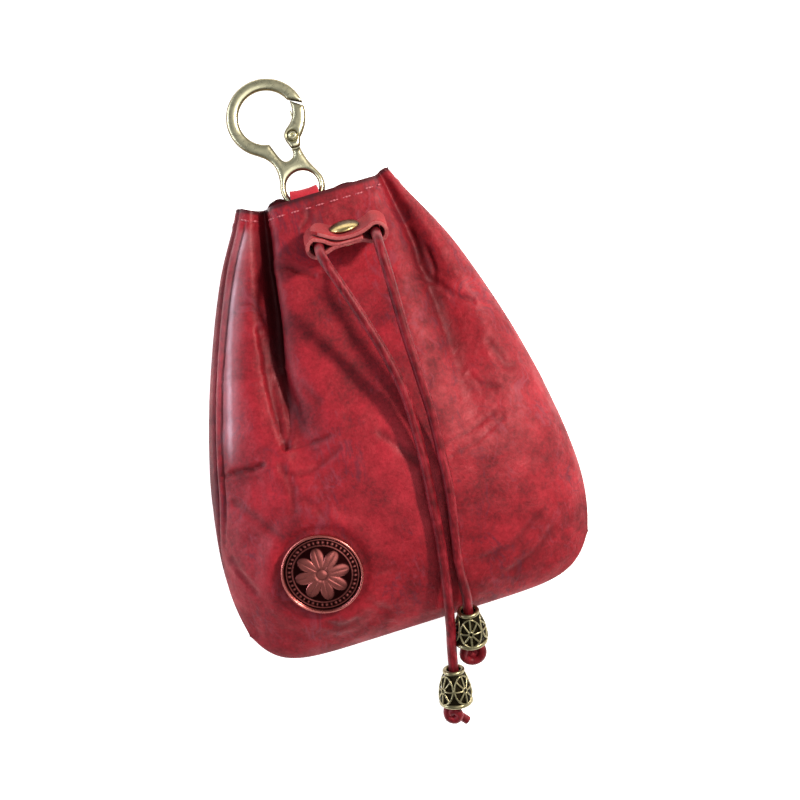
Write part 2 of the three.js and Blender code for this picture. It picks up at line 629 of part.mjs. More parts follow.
function finish(name, color, roughness, metalness) {
  return new THREE.MeshStandardMaterial({ name, color, roughness, metalness });
}
const redLeather = finish('waxed_red_leather', 0xa02030, 0.4, 0);
const nubuck = finish('red_nubuck', 0xb8303a, 0.8, 0);
const cordLeather = finish('round_leather_cord', 0x6e2a30, 0.6, 0);
const paleBrass = finish('antique_pale_brass', 0xb8b48c, 0.35, 1);
const darkBrass = finish('antique_dark_brass', 0x8c8064, 0.45, 1);
const bronze = finish('patinated_bronze', 0x6a2e2a, 0.45, 1);

const pouch = new THREE.Group();

function addPart(name, shape, material, matrix) {
  const mesh = new THREE.Mesh(shape.isBufferGeometry ? shape : toGeometry(shape), material);
  mesh.name = name;
  if (matrix) mesh.applyMatrix4(matrix);
  pouch.add(mesh);
  return mesh;
}

addPart('front_panel', frontPanel, redLeather);
addPart('back_panel', backPanel, redLeather);
addPart('hanging_loop', hangingLoop(), nubuck);
addPart('clip_frame', clipFrame, paleBrass, clipFrameMatrix);
addPart('clip_gate', clipGate, paleBrass, clipFrameMatrix);
addPart('gate_pin', gateAt(lathe(pinProfile, 16)), paleBrass, clipFrameMatrix);
addPart('gate_spring', spring, paleBrass, clipFrameMatrix);
addPart('drawstring', tube(cordPoints, cordDiameter / 2, 8, cordSteps), cordLeather);
addPart('keeper_strap', keeperStrap(), nubuck, keeperFrame);
const rivetFrame = keeperFrame.clone().multiply(new THREE.Matrix4().makeRotationX(-Math.PI / 2));
addPart('keeper_rivet_cap', lathe(capProfile.slice().reverse(), 20), paleBrass, rivetFrame);
addPart('keeper_rivet_base', lathe(baseProfile.slice().reverse(), 20), paleBrass, rivetFrame);
addPart('bead_left', beadSolid(), darkBrass, aimed(beadLeft.aim, beadLeft.foot));
addPart('bead_right', beadSolid(), darkBrass, aimed(beadRight.aim, beadRight.foot));
addPart('knot_left', knotSolid(cordPoints[0], cordPoints[1]), cordLeather);
addPart('knot_right', knotSolid(cordPoints.at(-1), cordPoints.at(-2)), cordLeather);
addPart('medallion', lathe(medalProfile.slice().reverse(), 36), bronze, postFrame);
addPart('medallion_screw', lathe(screwProfile.slice().reverse(), 16), darkBrass, postFrame);

// The finished pouch stands with the middle of its own pieces over the origin, its lowest face on z = 0
const onCord = ['drawstring', 'bead_left', 'bead_right', 'knot_left', 'knot_right'];
const box = new THREE.Box3();
pouch.updateMatrixWorld(true);
for (const mesh of pouch.children) {
  if (!onCord.includes(mesh.name)) box.expandByObject(mesh, true);
}
const middle = box.getCenter(v3());
pouch.position.set(-middle.x, -middle.y, -box.min.z);

export default pouch;
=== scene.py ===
import math

import bmesh
import bpy
import numpy as np
from mathutils import Matrix, Vector, noise


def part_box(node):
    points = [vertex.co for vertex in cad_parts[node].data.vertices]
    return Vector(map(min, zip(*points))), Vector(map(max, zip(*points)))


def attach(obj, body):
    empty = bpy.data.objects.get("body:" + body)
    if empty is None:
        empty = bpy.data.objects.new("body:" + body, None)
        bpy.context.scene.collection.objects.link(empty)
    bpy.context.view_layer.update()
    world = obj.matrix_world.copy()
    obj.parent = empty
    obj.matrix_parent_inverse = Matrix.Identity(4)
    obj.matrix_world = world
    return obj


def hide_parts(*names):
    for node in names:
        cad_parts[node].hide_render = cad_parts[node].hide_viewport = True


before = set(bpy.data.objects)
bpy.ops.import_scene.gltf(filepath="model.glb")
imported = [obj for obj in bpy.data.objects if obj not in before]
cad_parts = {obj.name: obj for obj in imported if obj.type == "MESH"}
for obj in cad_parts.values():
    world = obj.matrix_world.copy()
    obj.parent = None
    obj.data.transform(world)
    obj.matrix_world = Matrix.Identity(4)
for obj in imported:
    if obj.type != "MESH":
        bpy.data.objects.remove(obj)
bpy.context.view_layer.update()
scene = bpy.context.scene
scene.view_settings.view_transform = "Standard"

# Sizes are in millimetres in the pouch's own frame; toRow carries a finished piece into the CAD row's frame
mm = 0.001
keeperPlace = Vector((5, 114.9, 23.4))
keeperLow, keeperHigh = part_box("keeper_strap")
shift = (keeperLow + keeperHigh) / 2 - keeperPlace * mm
toRow = Matrix.Translation(shift) @ Matrix.Scale(mm, 4)

# Camera: straight down, with the pouch lying a little turned in the picture
camera = {"place": (8.741, -18.575, 750), "turn": 15, "lens": 111.0, "sensor": 36}
cameraData = bpy.data.cameras.new("camera")
cameraData.lens = camera["lens"]
cameraData.sensor_width = camera["sensor"]
cameraData.clip_end = 10
cameraObject = bpy.data.objects.new("camera", cameraData)
cameraObject.location = Vector(camera["place"]) * mm
cameraObject.rotation_euler = (0, 0, -math.radians(camera["turn"]))
scene.collection.objects.link(cameraObject)
scene.camera = cameraObject
print("camera placed")


def addNode(tree, kind, links=None, stops=None, **settings):
    node = tree.nodes.new("ShaderNode" + kind)
    for key, value in settings.items():
        setattr(node, key, value)
    for key, value in (links or {}).items():
        if isinstance(value, bpy.types.NodeSocket):
            tree.links.new(value, node.inputs[key])
        else:
            node.inputs[key].default_value = value
    if stops:
        elements = node.color_ramp.elements
        while len(elements) < len(stops):
            elements.new(0.5)
        for element, (place, shade) in zip(elements, stops):
            element.position = place
            element.color = shade
    return node


def tint(code):
    parts = [int(code[k:k + 2], 16) / 255 for k in (1, 3, 5)]
    return [c / 12.92 if c < 0.04045 else ((c + 0.055) / 1.055) ** 2.4 for c in parts] + [1]


def startMaterial(name):
    material = bpy.data.materials.new(name)
    material.use_nodes = True
    tree = material.node_tree
    tree.nodes.clear()
    return material, tree, addNode(tree, "TexCoord").outputs["Object"]


def closeMaterial(tree, shader):
    addNode(tree, "OutputMaterial", {"Surface": shader.outputs[0]})


# Waxed pull-up leather, drum dyed and hand brushed: mottled reds, violet-grey brush marks, soft gloss, a painted
# highlight along the left side's fold, and painted shade in creases, valleys and along the sides
leatherLook = {
    "deep": "#520811", "red": "#80121d", "bright": "#a3212d",
    "brushed": "#541a2a", "pale": "#85303d", "paintedHighlight": "#cbb0ba",
    # the first of these is the colour of the painted shade in creases and valleys; then the burnished hem edge and
    # the cut edge
    "paintedShade": "#2c0408", "rim": "#24060c", "raw": "#d58a80",
    # sizes of the patterns in millimetres
    "mottle": 17, "cloud": 4.8, "speck": 0.95, "bend": 16, "brush": 2.2, "grain": 0.55, "wrinkle": 2.8,
}


def waxedLeather():
    look = leatherLook
    material, tree, place = startMaterial("waxedPullUpLeather")
    cloud = addNode(tree, "TexNoise", {
        "Vector": place, "Scale": 1000 / look["mottle"], "Detail": 5, "Roughness": 0.62})
    patches = addNode(tree, "TexNoise", {
        "Vector": place, "Scale": 1000 / look["cloud"], "Detail": 6, "Roughness": 0.7})
    specks = addNode(tree, "TexNoise", {
        "Vector": place, "Scale": 1000 / look["speck"], "Detail": 3, "Roughness": 0.6})
    fine = addNode(tree, "Math", {0: specks.outputs[0], 1: 0.4, 2: -0.2}, operation="MULTIPLY_ADD")
    softened = addNode(tree, "Math", {0: patches.outputs[0], 1: 0.5, 2: 0.25}, operation="MULTIPLY_ADD")
    tones = addNode(tree, "Math", {0: cloud.outputs[0], 1: softened.outputs[0]}, operation="ADD")
    speckled = addNode(tree, "Math", {0: tones.outputs[0], 1: fine.outputs[0]}, operation="ADD")
    halved = addNode(tree, "Math", {0: speckled.outputs[0], 1: 0.5}, operation="MULTIPLY")
    shade = addNode(tree, "ValToRGB", {0: halved.outputs[0]}, stops=[
        (0.38, tint(look["deep"])), (0.49, tint(look["red"])), (0.62, tint(look["bright"]))])
    # hand-brushed strokes in two directions, a little bent
    bend = addNode(tree, "TexNoise", {"Vector": place, "Scale": 1000 / look["bend"], "Detail": 2})
    bent = addNode(tree, "VectorMath", {0: bend.outputs["Color"], 1: place, 2: place}, operation="MULTIPLY_ADD")
    strokes = []
    for angle, patch in ((-32, 21), (64, 17)):
        turned = addNode(tree, "Mapping", {
            "Vector": bent.outputs[0], "Rotation": (0, 0, math.radians(angle)), "Scale": (1, 0.33, 0.6)})
        brush = addNode(tree, "TexNoise", {
            "Vector": turned.outputs[0], "Scale": 1000 / look["brush"], "Detail": 4, "Roughness": 0.62})
        where = addNode(tree, "TexNoise", {"Vector": turned.outputs[0], "Scale": 1000 / patch, "Detail": 3})
        both = addNode(tree, "Math", {0: brush.outputs[0], 1: where.outputs[0]}, operation="MULTIPLY")
        strokes.append(addNode(tree, "MapRange", {0: both.outputs[0], 1: 0.3, 2: 0.42, 3: 0.0, 4: 0.7}).outputs[0])
    gloss = addNode(tree, "Attribute", attribute_name="gloss")
    # pale colour along the gloss mask: a painted highlight
    paintedHighlightAmount = addNode(tree, "Math", {0: gloss.outputs["Fac"], 1: 0.6}, operation="MULTIPLY")
    layers = [("pale", strokes[1]), ("brushed", strokes[0]), ("paintedHighlight", paintedHighlightAmount.outputs[0])]
    # painted shade in creases and valleys, then the burnished hem edge and the pale cut edge
    for name in ("paintedShade", "rim", "raw"):
        layers.append((name, addNode(tree, "Attribute", attribute_name=name).outputs["Fac"]))
    colour = shade.outputs[0]
    for name, amount in layers:
        mixed = addNode(tree, "Mix", {0: amount, 6: colour, 7: tint(look[name])}, data_type="RGBA")
        colour = mixed.outputs[2]
    matt = addNode(tree, "MapRange", {0: tones.outputs[0], 1: 0.8, 2: 1.2, 3: 0.66, 4: 0.46})
    sheen = addNode(tree, "Mix", {0: gloss.outputs["Fac"], 2: matt.outputs[0], 3: 0.21}, data_type="FLOAT")
    wrinkle = addNode(tree, "TexNoise", {
        "Vector": place, "Scale": 1000 / look["wrinkle"], "Detail": 4, "Roughness": 0.58, "Distortion": 1.3})
    grain = addNode(tree, "TexVoronoi", {"Vector": place, "Scale": 1000 / look["grain"]})
    soft = addNode(tree, "Bump", {"Strength": 0.3, "Distance": 0.0006, "Height": wrinkle.outputs[0]})
    scored = addNode(tree, "Bump", {
        "Strength": 0.12, "Distance": 0.0003, "Height": brush.outputs[0], "Normal": soft.outputs[0]})
    pores = addNode(tree, "Bump", {
        "Strength": 0.12, "Distance": 0.00015, "Height": grain.outputs[0], "Normal": scored.outputs[0]})
    closeMaterial(tree, addNode(tree, "BsdfPrincipled", {
        "Base Color": colour, "Roughness": sheen.outputs[0], "Normal": pores.outputs[0],
        "Specular IOR Level": 0.4, "Specular Tint": tint("#ffc4c8")}))
    return material


# Nubuck, buffed on its grain side: matt with a short nap, and a paler cut edge
def nubuck(name, base, dark, rough=0.85):
    material, tree, place = startMaterial(name)
    fibres = addNode(tree, "TexNoise", {"Vector": place, "Scale": 1000 / 0.5, "Detail": 5, "Roughness": 0.7})
    cloud = addNode(tree, "TexNoise", {"Vector": place, "Scale": 1000 / 5, "Detail": 3})
    both = addNode(tree, "Math", {0: fibres.outputs[0], 1: cloud.outputs[0]}, operation="ADD")
    half = addNode(tree, "Math", {0: both.outputs[0], 1: 0.5}, operation="MULTIPLY")
    shade = addNode(tree, "ValToRGB", {0: half.outputs[0]}, stops=[(0.38, tint(dark)), (0.6, tint(base))])
    nap = addNode(tree, "Bump", {"Strength": 0.4, "Distance": 0.0002, "Height": fibres.outputs[0]})
    closeMaterial(tree, addNode(tree, "BsdfPrincipled", {
        "Base Color": shade.outputs[0], "Roughness": rough, "Normal": nap.outputs[0],
        "Sheen Weight": 0.06, "Sheen Roughness": 0.5, "Specular IOR Level": 0.2}))
    return material


# Round leather cord, waxed: satin brownish red with fine cracks along it
def roundCord():
    material, tree, place = startMaterial("waxedRoundCord")
    long = addNode(tree, "Mapping", {"Vector": place, "Scale": (1, 0.12, 0.5)})
    cracks = addNode(tree, "TexNoise", {
        "Vector": long.outputs[0], "Scale": 1000 / 0.7, "Detail": 4, "Roughness": 0.65})
    worn = addNode(tree, "TexNoise", {"Vector": place, "Scale": 1000 / 3, "Detail": 4})
    both = addNode(tree, "Math", {0: cracks.outputs[0], 1: worn.outputs[0]}, operation="MULTIPLY")
    shade = addNode(tree, "ValToRGB", {0: both.outputs[0]},
                    stops=[(0.13, tint("#470a10")), (0.26, tint("#6c121b")), (0.38, tint("#88212b"))])
    skin = addNode(tree, "Bump", {"Strength": 0.35, "Distance": 0.0003, "Height": cracks.outputs[0]})
    closeMaterial(tree, addNode(tree, "BsdfPrincipled", {
        "Base Color": shade.outputs[0], "Roughness": 0.45, "Normal": skin.outputs[0],
        "Specular IOR Level": 0.35, "Specular Tint": tint("#ffb0b4")}))
    return material


# Cast brass with an antique plating, tumbled: pale on the faces, brown where a vertex attribute says: painted shade
# along the clip's edges and over one side of the rivet cap, patina in the medallion's recesses
def brass(name, pale, brown, rough, low=0.0, high=0.9, wear=1.2):
    material, tree, place = startMaterial(name)
    tumble = addNode(tree, "TexNoise", {"Vector": place, "Scale": 1000 / wear, "Detail": 5, "Roughness": 0.6})
    shadeAndPatina = addNode(tree, "Attribute", attribute_name="shadeAndPatina")
    stain = addNode(tree, "Math", {0: tumble.outputs[0], 1: 0.22}, operation="MULTIPLY")
    both = addNode(tree, "Math", {0: shadeAndPatina.outputs["Fac"], 1: stain.outputs[0]}, operation="ADD")
    shade = addNode(tree, "ValToRGB", {0: both.outputs[0]}, stops=[(low, tint(pale)), (high, tint(brown))])
    gloss = addNode(tree, "MapRange", {0: tumble.outputs[0], 1: 0.3, 2: 0.7, 3: rough - 0.06, 4: rough + 0.08})
    dents = addNode(tree, "Bump", {"Strength": 0.12, "Distance": 0.0002, "Height": tumble.outputs[0]})
    closeMaterial(tree, addNode(tree, "BsdfPrincipled", {
        "Base Color": shade.outputs[0], "Metallic": 1, "Roughness": gloss.outputs[0], "Normal": dents.outputs[0]}))
    return material


# Waxed linen thread, twisted
def thread():
    material, tree, place = startMaterial("waxedLinenThread")
    twist = addNode(tree, "TexWave", {"Vector": place, "Scale": 1000 / 3.0, "Distortion": 2})
    shade = addNode(tree, "ValToRGB", {0: twist.outputs[0]}, stops=[
        (0.2, tint("#93303a")), (0.8, tint("#b9636a"))])
    closeMaterial(tree, addNode(tree, "BsdfPrincipled", {"Base Color": shade.outputs[0], "Roughness": 0.6}))
    return material


leather = waxedLeather()
keeperLeather = nubuck("redNubuck", "#9c141b", "#770d14")
loopLeather = nubuck("redNubuckFolded", "#bd2a37", "#9a1c28")
rawEdge = nubuck("cutLeatherEdge", "#b5605f", "#8a2f35")
cordLeather = roundCord()
# the cap's brass, browned over one side by painted shade
capBrass = brass("capBrassPaintedShade", "#cdb67c", "#4a3814", 0.34)
paleBrass = brass("antiquePaleBrass", "#e2deb9", "#54431f", 0.3)
beadBrass = brass("antiqueDarkBrass", "#9a9270", "#3a3420", 0.34, wear=0.8)
# a dark liner: painted shade for the inside of the beads
shadeLinerBrass = brass("blackenedAndShadedLiner", "#2a2418", "#0c0a06", 0.6)
bronze = brass("patinatedRedBronze", "#cf736c", "#2e0d0e", 0.3, high=0.85)
linen = thread()
print("materials made")


def addPiece(name, data, body, materials, nodes=()):
    piece = bpy.data.objects.new(name, data)
    scene.collection.objects.link(piece)
    for material in materials:
        data.materials.append(material)
    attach(piece, body)
    if nodes:
        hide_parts(*nodes)
    return piece


def closeMesh(name, bm, place=toRow, recalc=True, smooth=True, near=1e-4):
    bmesh.ops.remove_doubles(bm, verts=bm.verts, dist=near)
    if recalc:
        bmesh.ops.recalc_face_normals(bm, faces=bm.faces)
    for face in bm.faces:
        face.smooth = smooth
    bmesh.ops.transform(bm, matrix=place, verts=bm.verts)
    mesh = bpy.data.meshes.new(name)
    bm.to_mesh(mesh)
    bm.free()
    return mesh


def baked(source):
    scene.collection.objects.link(source)
    found = bpy.data.meshes.new_from_object(source.evaluated_get(bpy.context.evaluated_depsgraph_get()))
    bpy.data.objects.remove(source)
    return found


def curveOf(name, lines, radius, closed=False, sides=3):
    curve = bpy.data.curves.new(name, "CURVE")
    curve.dimensions = "3D"
    curve.bevel_depth = radius
    curve.bevel_resolution = sides
    curve.use_fill_caps = True
    for line in lines:
        spline = curve.splines.new("POLY")
        spline.points.add(len(line) - 1)
        for point, place in zip(spline.points, line):
            point.co = (*place, 1)
        spline.use_cyclic_u = closed
        spline.use_smooth = True
    return curve


# A smooth line through given points, the same kind that the solid cord follows
def smoothLine(points, spacing):
    chosen = [Vector(p) for p in points]
    ends = [chosen[0] * 2 - chosen[1], *chosen, chosen[-1] * 2 - chosen[-2]]
    line = []
    for k in range(1, len(ends) - 2):
        p0, p1, p2, p3 = ends[k - 1:k + 3]
        t1 = math.sqrt((p1 - p0).length)
        t2 = t1 + math.sqrt((p2 - p1).length)
        t3 = t2 + math.sqrt((p3 - p2).length)
        count = max(1, round((p2 - p1).length / spacing))
        for n in range(count):
            t = t1 + (t2 - t1) * n / count
            a = p0.lerp(p1, t / t1)
            b = p1.lerp(p2, (t - t1) / (t2 - t1))
            c = p2.lerp(p3, (t - t2) / (t3 - t2))
            line.append(a.lerp(b, t / t2).lerp(b.lerp(c, (t - t1) / (t3 - t1)), (t - t1) / (t2 - t1)))
    return line + [chosen[-1]]


# The keeper stands on the bag, leaning towards the picture's foot, and a cord runs through each of its two tunnels
keeper = {"spacing": 8.6, "lean": 20, "width": 12, "thick": 1.25, "tip": 4.5}
lean = math.radians(keeper["lean"])
tunnelAxis = Vector((0, -math.sin(lean), math.cos(lean)))
capAxis = Vector((0, math.cos(lean), math.sin(lean)))
keeperTurn = Matrix((Vector((1, 0, 0)), capAxis, tunnelAxis)).transposed().to_4x4()
keeperFrame = Matrix.Translation(keeperPlace) @ keeperTurn


def inTunnel(side, up):
    return keeperPlace + Vector((side * keeper["spacing"], 0, 0)) + tunnelAxis * up


# Round cord: the lengths are in metres, everything else in millimetres. A bead is a foot and a direction
cords = {"diameter": 3, "leftLength": 0.162, "rightLength": 0.143}
beadHeight = 12.5
beadLeft = (Vector((0.4, -29.8, 5.4)), Vector((1.7, 9.9, 3.7)).normalized())
beadRight = (Vector((9.4, -13.2, 9.3)), Vector((1.6, 10.5, 6.2)).normalized())
leftRun = [
    (4.9, -4.9, 16.0), (6.2, 2.8, 20), (7.8, 15, 25), (8.7, 23.2, 27.7), (9.2, 33.2, 29.8),
    (9.8, 43, 31), (10, 53, 32), (9.6, 64.5, 33.2), (7.7, 75.2, 34.2), (4.6, 86, 35.1), (1.4, 95.8, 35.7),
    (-1, 102.5, 36.2), (-2.3, 106.2, 36.6), (-3.3, 109.2, 35.2),
]
rightRun = [
    (13.6, 109.2, 35.2), (13.7, 106.2, 36.7), (13.9, 102, 36.9), (14.1, 94, 36.2), (14.3, 83, 35.5),
    (15, 70, 34.6), (15.6, 57, 32.8), (15.3, 45, 31.4), (14.8, 34, 30.1), (13.1, 22, 27.3), (11.8, 12.8, 23.9),
]
innerRun = [
    (-3.6, 118.1, 13.8), (-4.9, 118.6, 11.3), (-8, 118.6, 9.8), (-12.5, 118, 10.2), (-16.5, 117.6, 11.2),
    (-19.5, 117.4, 11.2), (-23, 117, 9.9), (-27, 115.6, 7.6), (-29.6, 112.2, 5.6), (-28.8, 107.6, 4.6),
    (-24.5, 105, 4.1), (-12, 104.5, 3.9), (0, 104.5, 3.9), (12, 104.5, 3.9), (21, 104.8, 4),
    (26, 107.2, 4.6), (28, 111.4, 5.8), (26.9, 115.4, 7.6), (23.8, 117.4, 9.6), (20.4, 118.2, 10.4),
    (17, 118.6, 10.2), (14.6, 118.5, 11.7), (13.6, 118, 14.2),
]


def throughBead(bead):
    foot, aim = bead
    return [foot + aim * t for t in (-1, 4, 9, 14, beadHeight + 5.5)]


leftTail = [*throughBead(beadLeft), *leftRun, inTunnel(-1, 10), inTunnel(-1, 6), inTunnel(-1, 0)][::-1]
rightTail = [inTunnel(1, 0), inTunnel(1, 6), inTunnel(1, 10), *rightRun, *throughBead(beadRight)[::-1]]
hidden = [inTunnel(-1, 0.3), inTunnel(-1, -6), *innerRun, inTunnel(1, -6), inTunnel(1, 0.3)]


def layCord(name, points):
    line = [toRow @ p for p in smoothLine(points, 1.2)]
    curve = curveOf(name, [line], cords["diameter"] / 2 * mm, sides=5)
    return addPiece(name, curve, "pouch", [cordLeather], ["drawstring"])


cordLeftPiece = layCord("cordLeft", leftTail)
cordRightPiece = layCord("cordRight", rightTail)
print("cords laid")


# Leather bag: the same skin as the solid's, with finer folds. u runs from -1 to 1 across, y is up, and a pleat's
# rows are (share of the height, value)
bag = {
    "widest": 111.8, "wideAt": 27, "mouthWidth": 52, "mouthAt": 131, "centreX": -1, "bottomDrop": 30,
    "lean": 0.045, "sideTaper": 1.69, "squareness": 8, "cornerAt": 9, "bellyPuff": 20.5, "mouthPuff": 7.5,
    "crownAt": 45, "bellySeam": 8, "mouthSeam": 5, "wall": 1.6, "columns": 176, "rows": 196,
    # how far the front turns round each side before its seam, in degrees, and the seam's gap in radians
    "leftSeam": 17, "rightSeam": 12, "seamGap": 0.0025,
    # the cord's holes: faces this near are cut out, and the rim this near is rounded to the radius
    "holeCut": 2.2, "holeRim": 3.4, "holeRadius": 1.95,
}
medal = {"x": -27.4, "y": 20.6, "diameter": 24.5}
leftPleat = {
    "line": [(0.35, -0.36), (0.46, -0.43), (0.62, -0.49), (0.75, -0.492), (0.9, -0.55), (1, -0.62)],
    "steep": 2.1,
    "depth": [(0.34, 0), (0.46, 3), (0.62, 8), (0.75, 10), (0.87, 8.5), (1, 6.5)],
    "outer": [(0.4, 8), (0.62, 6), (0.8, 4.5), (1, 3.2)],
    "inner": [(0.4, 7), (0.62, 4.4), (0.8, 3.4), (1, 3.2)],
}
rightPleat = {
    "line": [(0.4, 0.55), (0.6, 0.58), (0.8, 0.66), (0.93, 0.76), (1, 0.84)], "steep": 2,
    "depth": [(0.32, 0), (0.45, 2.5), (0.62, 6), (0.8, 6), (0.9, 5), (1, 3.6)],
    "outer": [(0.4, 11), (0.62, 10), (0.8, 5.5), (0.93, 3.2), (1, 2.6)],
    "inner": [(0.4, 8), (0.62, 5), (0.8, 3.6), (1, 2.8)],
}


def ease(t):
    t = np.clip(t, 0, 1)
    return t * t * (3 - 2 * t)


def bump(distance, width):
    return np.exp(-(distance / width) ** 2)


# A smooth curve through a pleat's rows
def along(points, h):
    xs, ys = np.array(points, float).T
    low = np.r_[0, np.arange(len(xs) - 1)]
    high = np.r_[np.arange(1, len(xs)), len(xs) - 1]
    slope = (ys[high] - ys[low]) / (xs[high] - xs[low])
    i = np.clip(np.searchsorted(xs, h, side="right") - 1, 0, len(xs) - 2)
    span = xs[i + 1] - xs[i]
    t = np.clip((h - xs[i]) / span, 0, 1)
    return (ys[i] * (1 + 2 * t) * (1 - t) ** 2 + ys[i + 1] * t * t * (3 - 2 * t)
            + slope[i] * span * t * (1 - t) ** 2 - slope[i + 1] * span * t * t * (1 - t))


def halfWidth(y):
    rise = np.maximum(0, (y - bag["wideAt"]) / (bag["mouthAt"] - bag["wideAt"]))
    fall = np.clip((bag["wideAt"] - y) / bag["bottomDrop"], 0, 1)
    belly = bag["widest"] / 2 * (1 - fall ** 2.05) ** (1 / bag["squareness"])
    return belly - (bag["widest"] - bag["mouthWidth"]) / 2 * rise ** bag["sideTaper"]


def bottomLine(u):
    share = np.minimum(1, np.abs(u) * halfWidth(bag["cornerAt"]) / (bag["widest"] / 2))
    return bag["wideAt"] - bag["bottomDrop"] * (1 - share ** bag["squareness"]) ** (1 / 2.05)


def seamHeight(y):
    return bag["bellySeam"] + (bag["mouthSeam"] - bag["bellySeam"]) * ease((y - 55) / (bag["mouthAt"] - 55))


def valleyOff(pleat, u, y):
    return (u - along(pleat["line"], y / bag["mouthAt"])) * halfWidth(y)


def pleatDepth(pleat, u, y):
    h = y / bag["mouthAt"]
    off = valleyOff(pleat, u, y)
    outward = off * np.sign(along(pleat["line"], h)) > 0
    wide = np.where(outward, along(pleat["outer"], h), along(pleat["inner"], h))
    return along(pleat["depth"], h) * np.exp(-np.abs(off / wide) ** pleat["steep"])


def foldedHeight(u, y, up):
    climb = np.clip((y - bag["crownAt"]) / (bag["mouthAt"] - bag["crownAt"]), 0, 1)
    puff = bag["bellyPuff"] + (bag["mouthPuff"] - bag["bellyPuff"]) * climb ** 1.5
    across = np.maximum(0, 1 - np.abs(u) ** 2.4) ** 0.55
    upward = (1 - (1 - np.clip(up / 48, 0, 1)) ** 2.2) ** 0.72
    x = bag["centreX"] + u * halfWidth(y)
    dent = 1.6 * np.exp(-((x - keeperPlace.x) / 13) ** 2 - ((y - keeperPlace.y) / 9) ** 2)
    hollow = 1.5 * np.exp(-((x - 1) / 12) ** 2 - ((y - 88) / 20) ** 2)
    pleats = pleatDepth(leftPleat, u, y) + pleatDepth(rightPleat, u, y)
    return seamHeight(y) + puff * across * upward - pleats - dent - hollow


def leaned(x, y):
    return y + bag["lean"] * x * (1 - ease(y / 50))


def seatHeight(x, y):
    level = y - bag["lean"] * x * (1 - ease(y / 50))
    u = (x - bag["centreX"]) / halfWidth(level)
    return foldedHeight(u, level, level - bottomLine(u))


seatSlopeX = (seatHeight(medal["x"] + 6, medal["y"]) - seatHeight(medal["x"] - 6, medal["y"])) / 12
seatSlopeY = (seatHeight(medal["x"], medal["y"] + 6) - seatHeight(medal["x"], medal["y"] - 6)) / 12
seatZ = seatHeight(medal["x"], medal["y"]) - 0.6


def softMax(a, b):
    return (a + b + np.sqrt((a - b) ** 2 + 9)) / 2


def frontHeight(u, y, up):
    x = bag["centreX"] + u * halfWidth(softMax(y, bag["cornerAt"]))
    offX = x - medal["x"]
    offY = leaned(x, y) - medal["y"]
    plane = seatZ + seatSlopeX * offX + seatSlopeY * offY
    far = np.hypot(offX, offY) - medal["diameter"] / 2
    share = ease((far - 1.5) / 7)
    return plane + (foldedHeight(u, y, up) - plane) * share


def backHeight(u, y, up):
    side = np.clip((np.abs(u) - 0.6) / 0.4, 0, 1)
    low = 1 - np.clip(up / 20, 0, 1)
    return seamHeight(y) * (1 - np.sqrt(1 - side ** 2) * np.sqrt(1 - low ** 2))


def frontHem(u):
    lift = 1.2 * np.exp(-((u - 0.9) / 0.12) ** 2) * (1 - u ** 8)
    corner = 2.6 * np.exp(-((u + 1) / 0.2) ** 2) + 1.5 * np.exp(-((u - 1) / 0.12) ** 2)
    return bag["mouthAt"] - 0.9 + 0.8 * u + lift + corner + (0.9 - 0.8 * np.abs(u)) * u ** 8


def backHem(u):
    level = -0.3 + 1.6 * np.exp(-((u + 0.46) / 0.12) ** 2) + 1.2 * np.exp(-((u - 0.38) / 0.18) ** 2)
    level = level - 3.4 * ease((-u - 0.56) / 0.1)
    return bag["mouthAt"] + level + (frontHem(np.sign(u)) - bag["mouthAt"] - level) * u ** 8


def skinPoints(turn, v):
    u = np.sin(turn)
    front = np.cos(turn) > 0
    low = bottomLine(u)
    y = low + (np.where(front, frontHem(u), backHem(u)) - low) * v
    x = bag["centreX"] + u * halfWidth(softMax(y, bag["cornerAt"]))
    z = np.where(front, frontHeight(u, y, y - low), backHeight(u, y, y - low))
    # the mouth's corners are drawn in
    x = x + 1.5 * ease((y - 112) / 20) * np.clip(-u, 0, 1) ** 2
    x = x - 2.2 * ease((y - 104) / 28) * np.clip(u, 0, 1) ** 2
    h = y / bag["mouthAt"]
    # the ridges lean over their valleys
    x = x - front * along(leftPleat["depth"], h) * 0.3 * bump(valleyOff(leftPleat, u, y) - 4.6, 2.6)
    x = x + front * along(rightPleat["depth"], h) * 0.22 * bump(valleyOff(rightPleat, u, y) + 3.8, 2.8)
    return np.stack([x, leaned(x, y), z], -1)


def outwardOf(points):
    wide = np.gradient(points, axis=1)
    rise = np.gradient(points, axis=0)
    found = np.cross(wide, rise)
    return found / np.maximum(1e-9, np.linalg.norm(found, axis=2, keepdims=True))
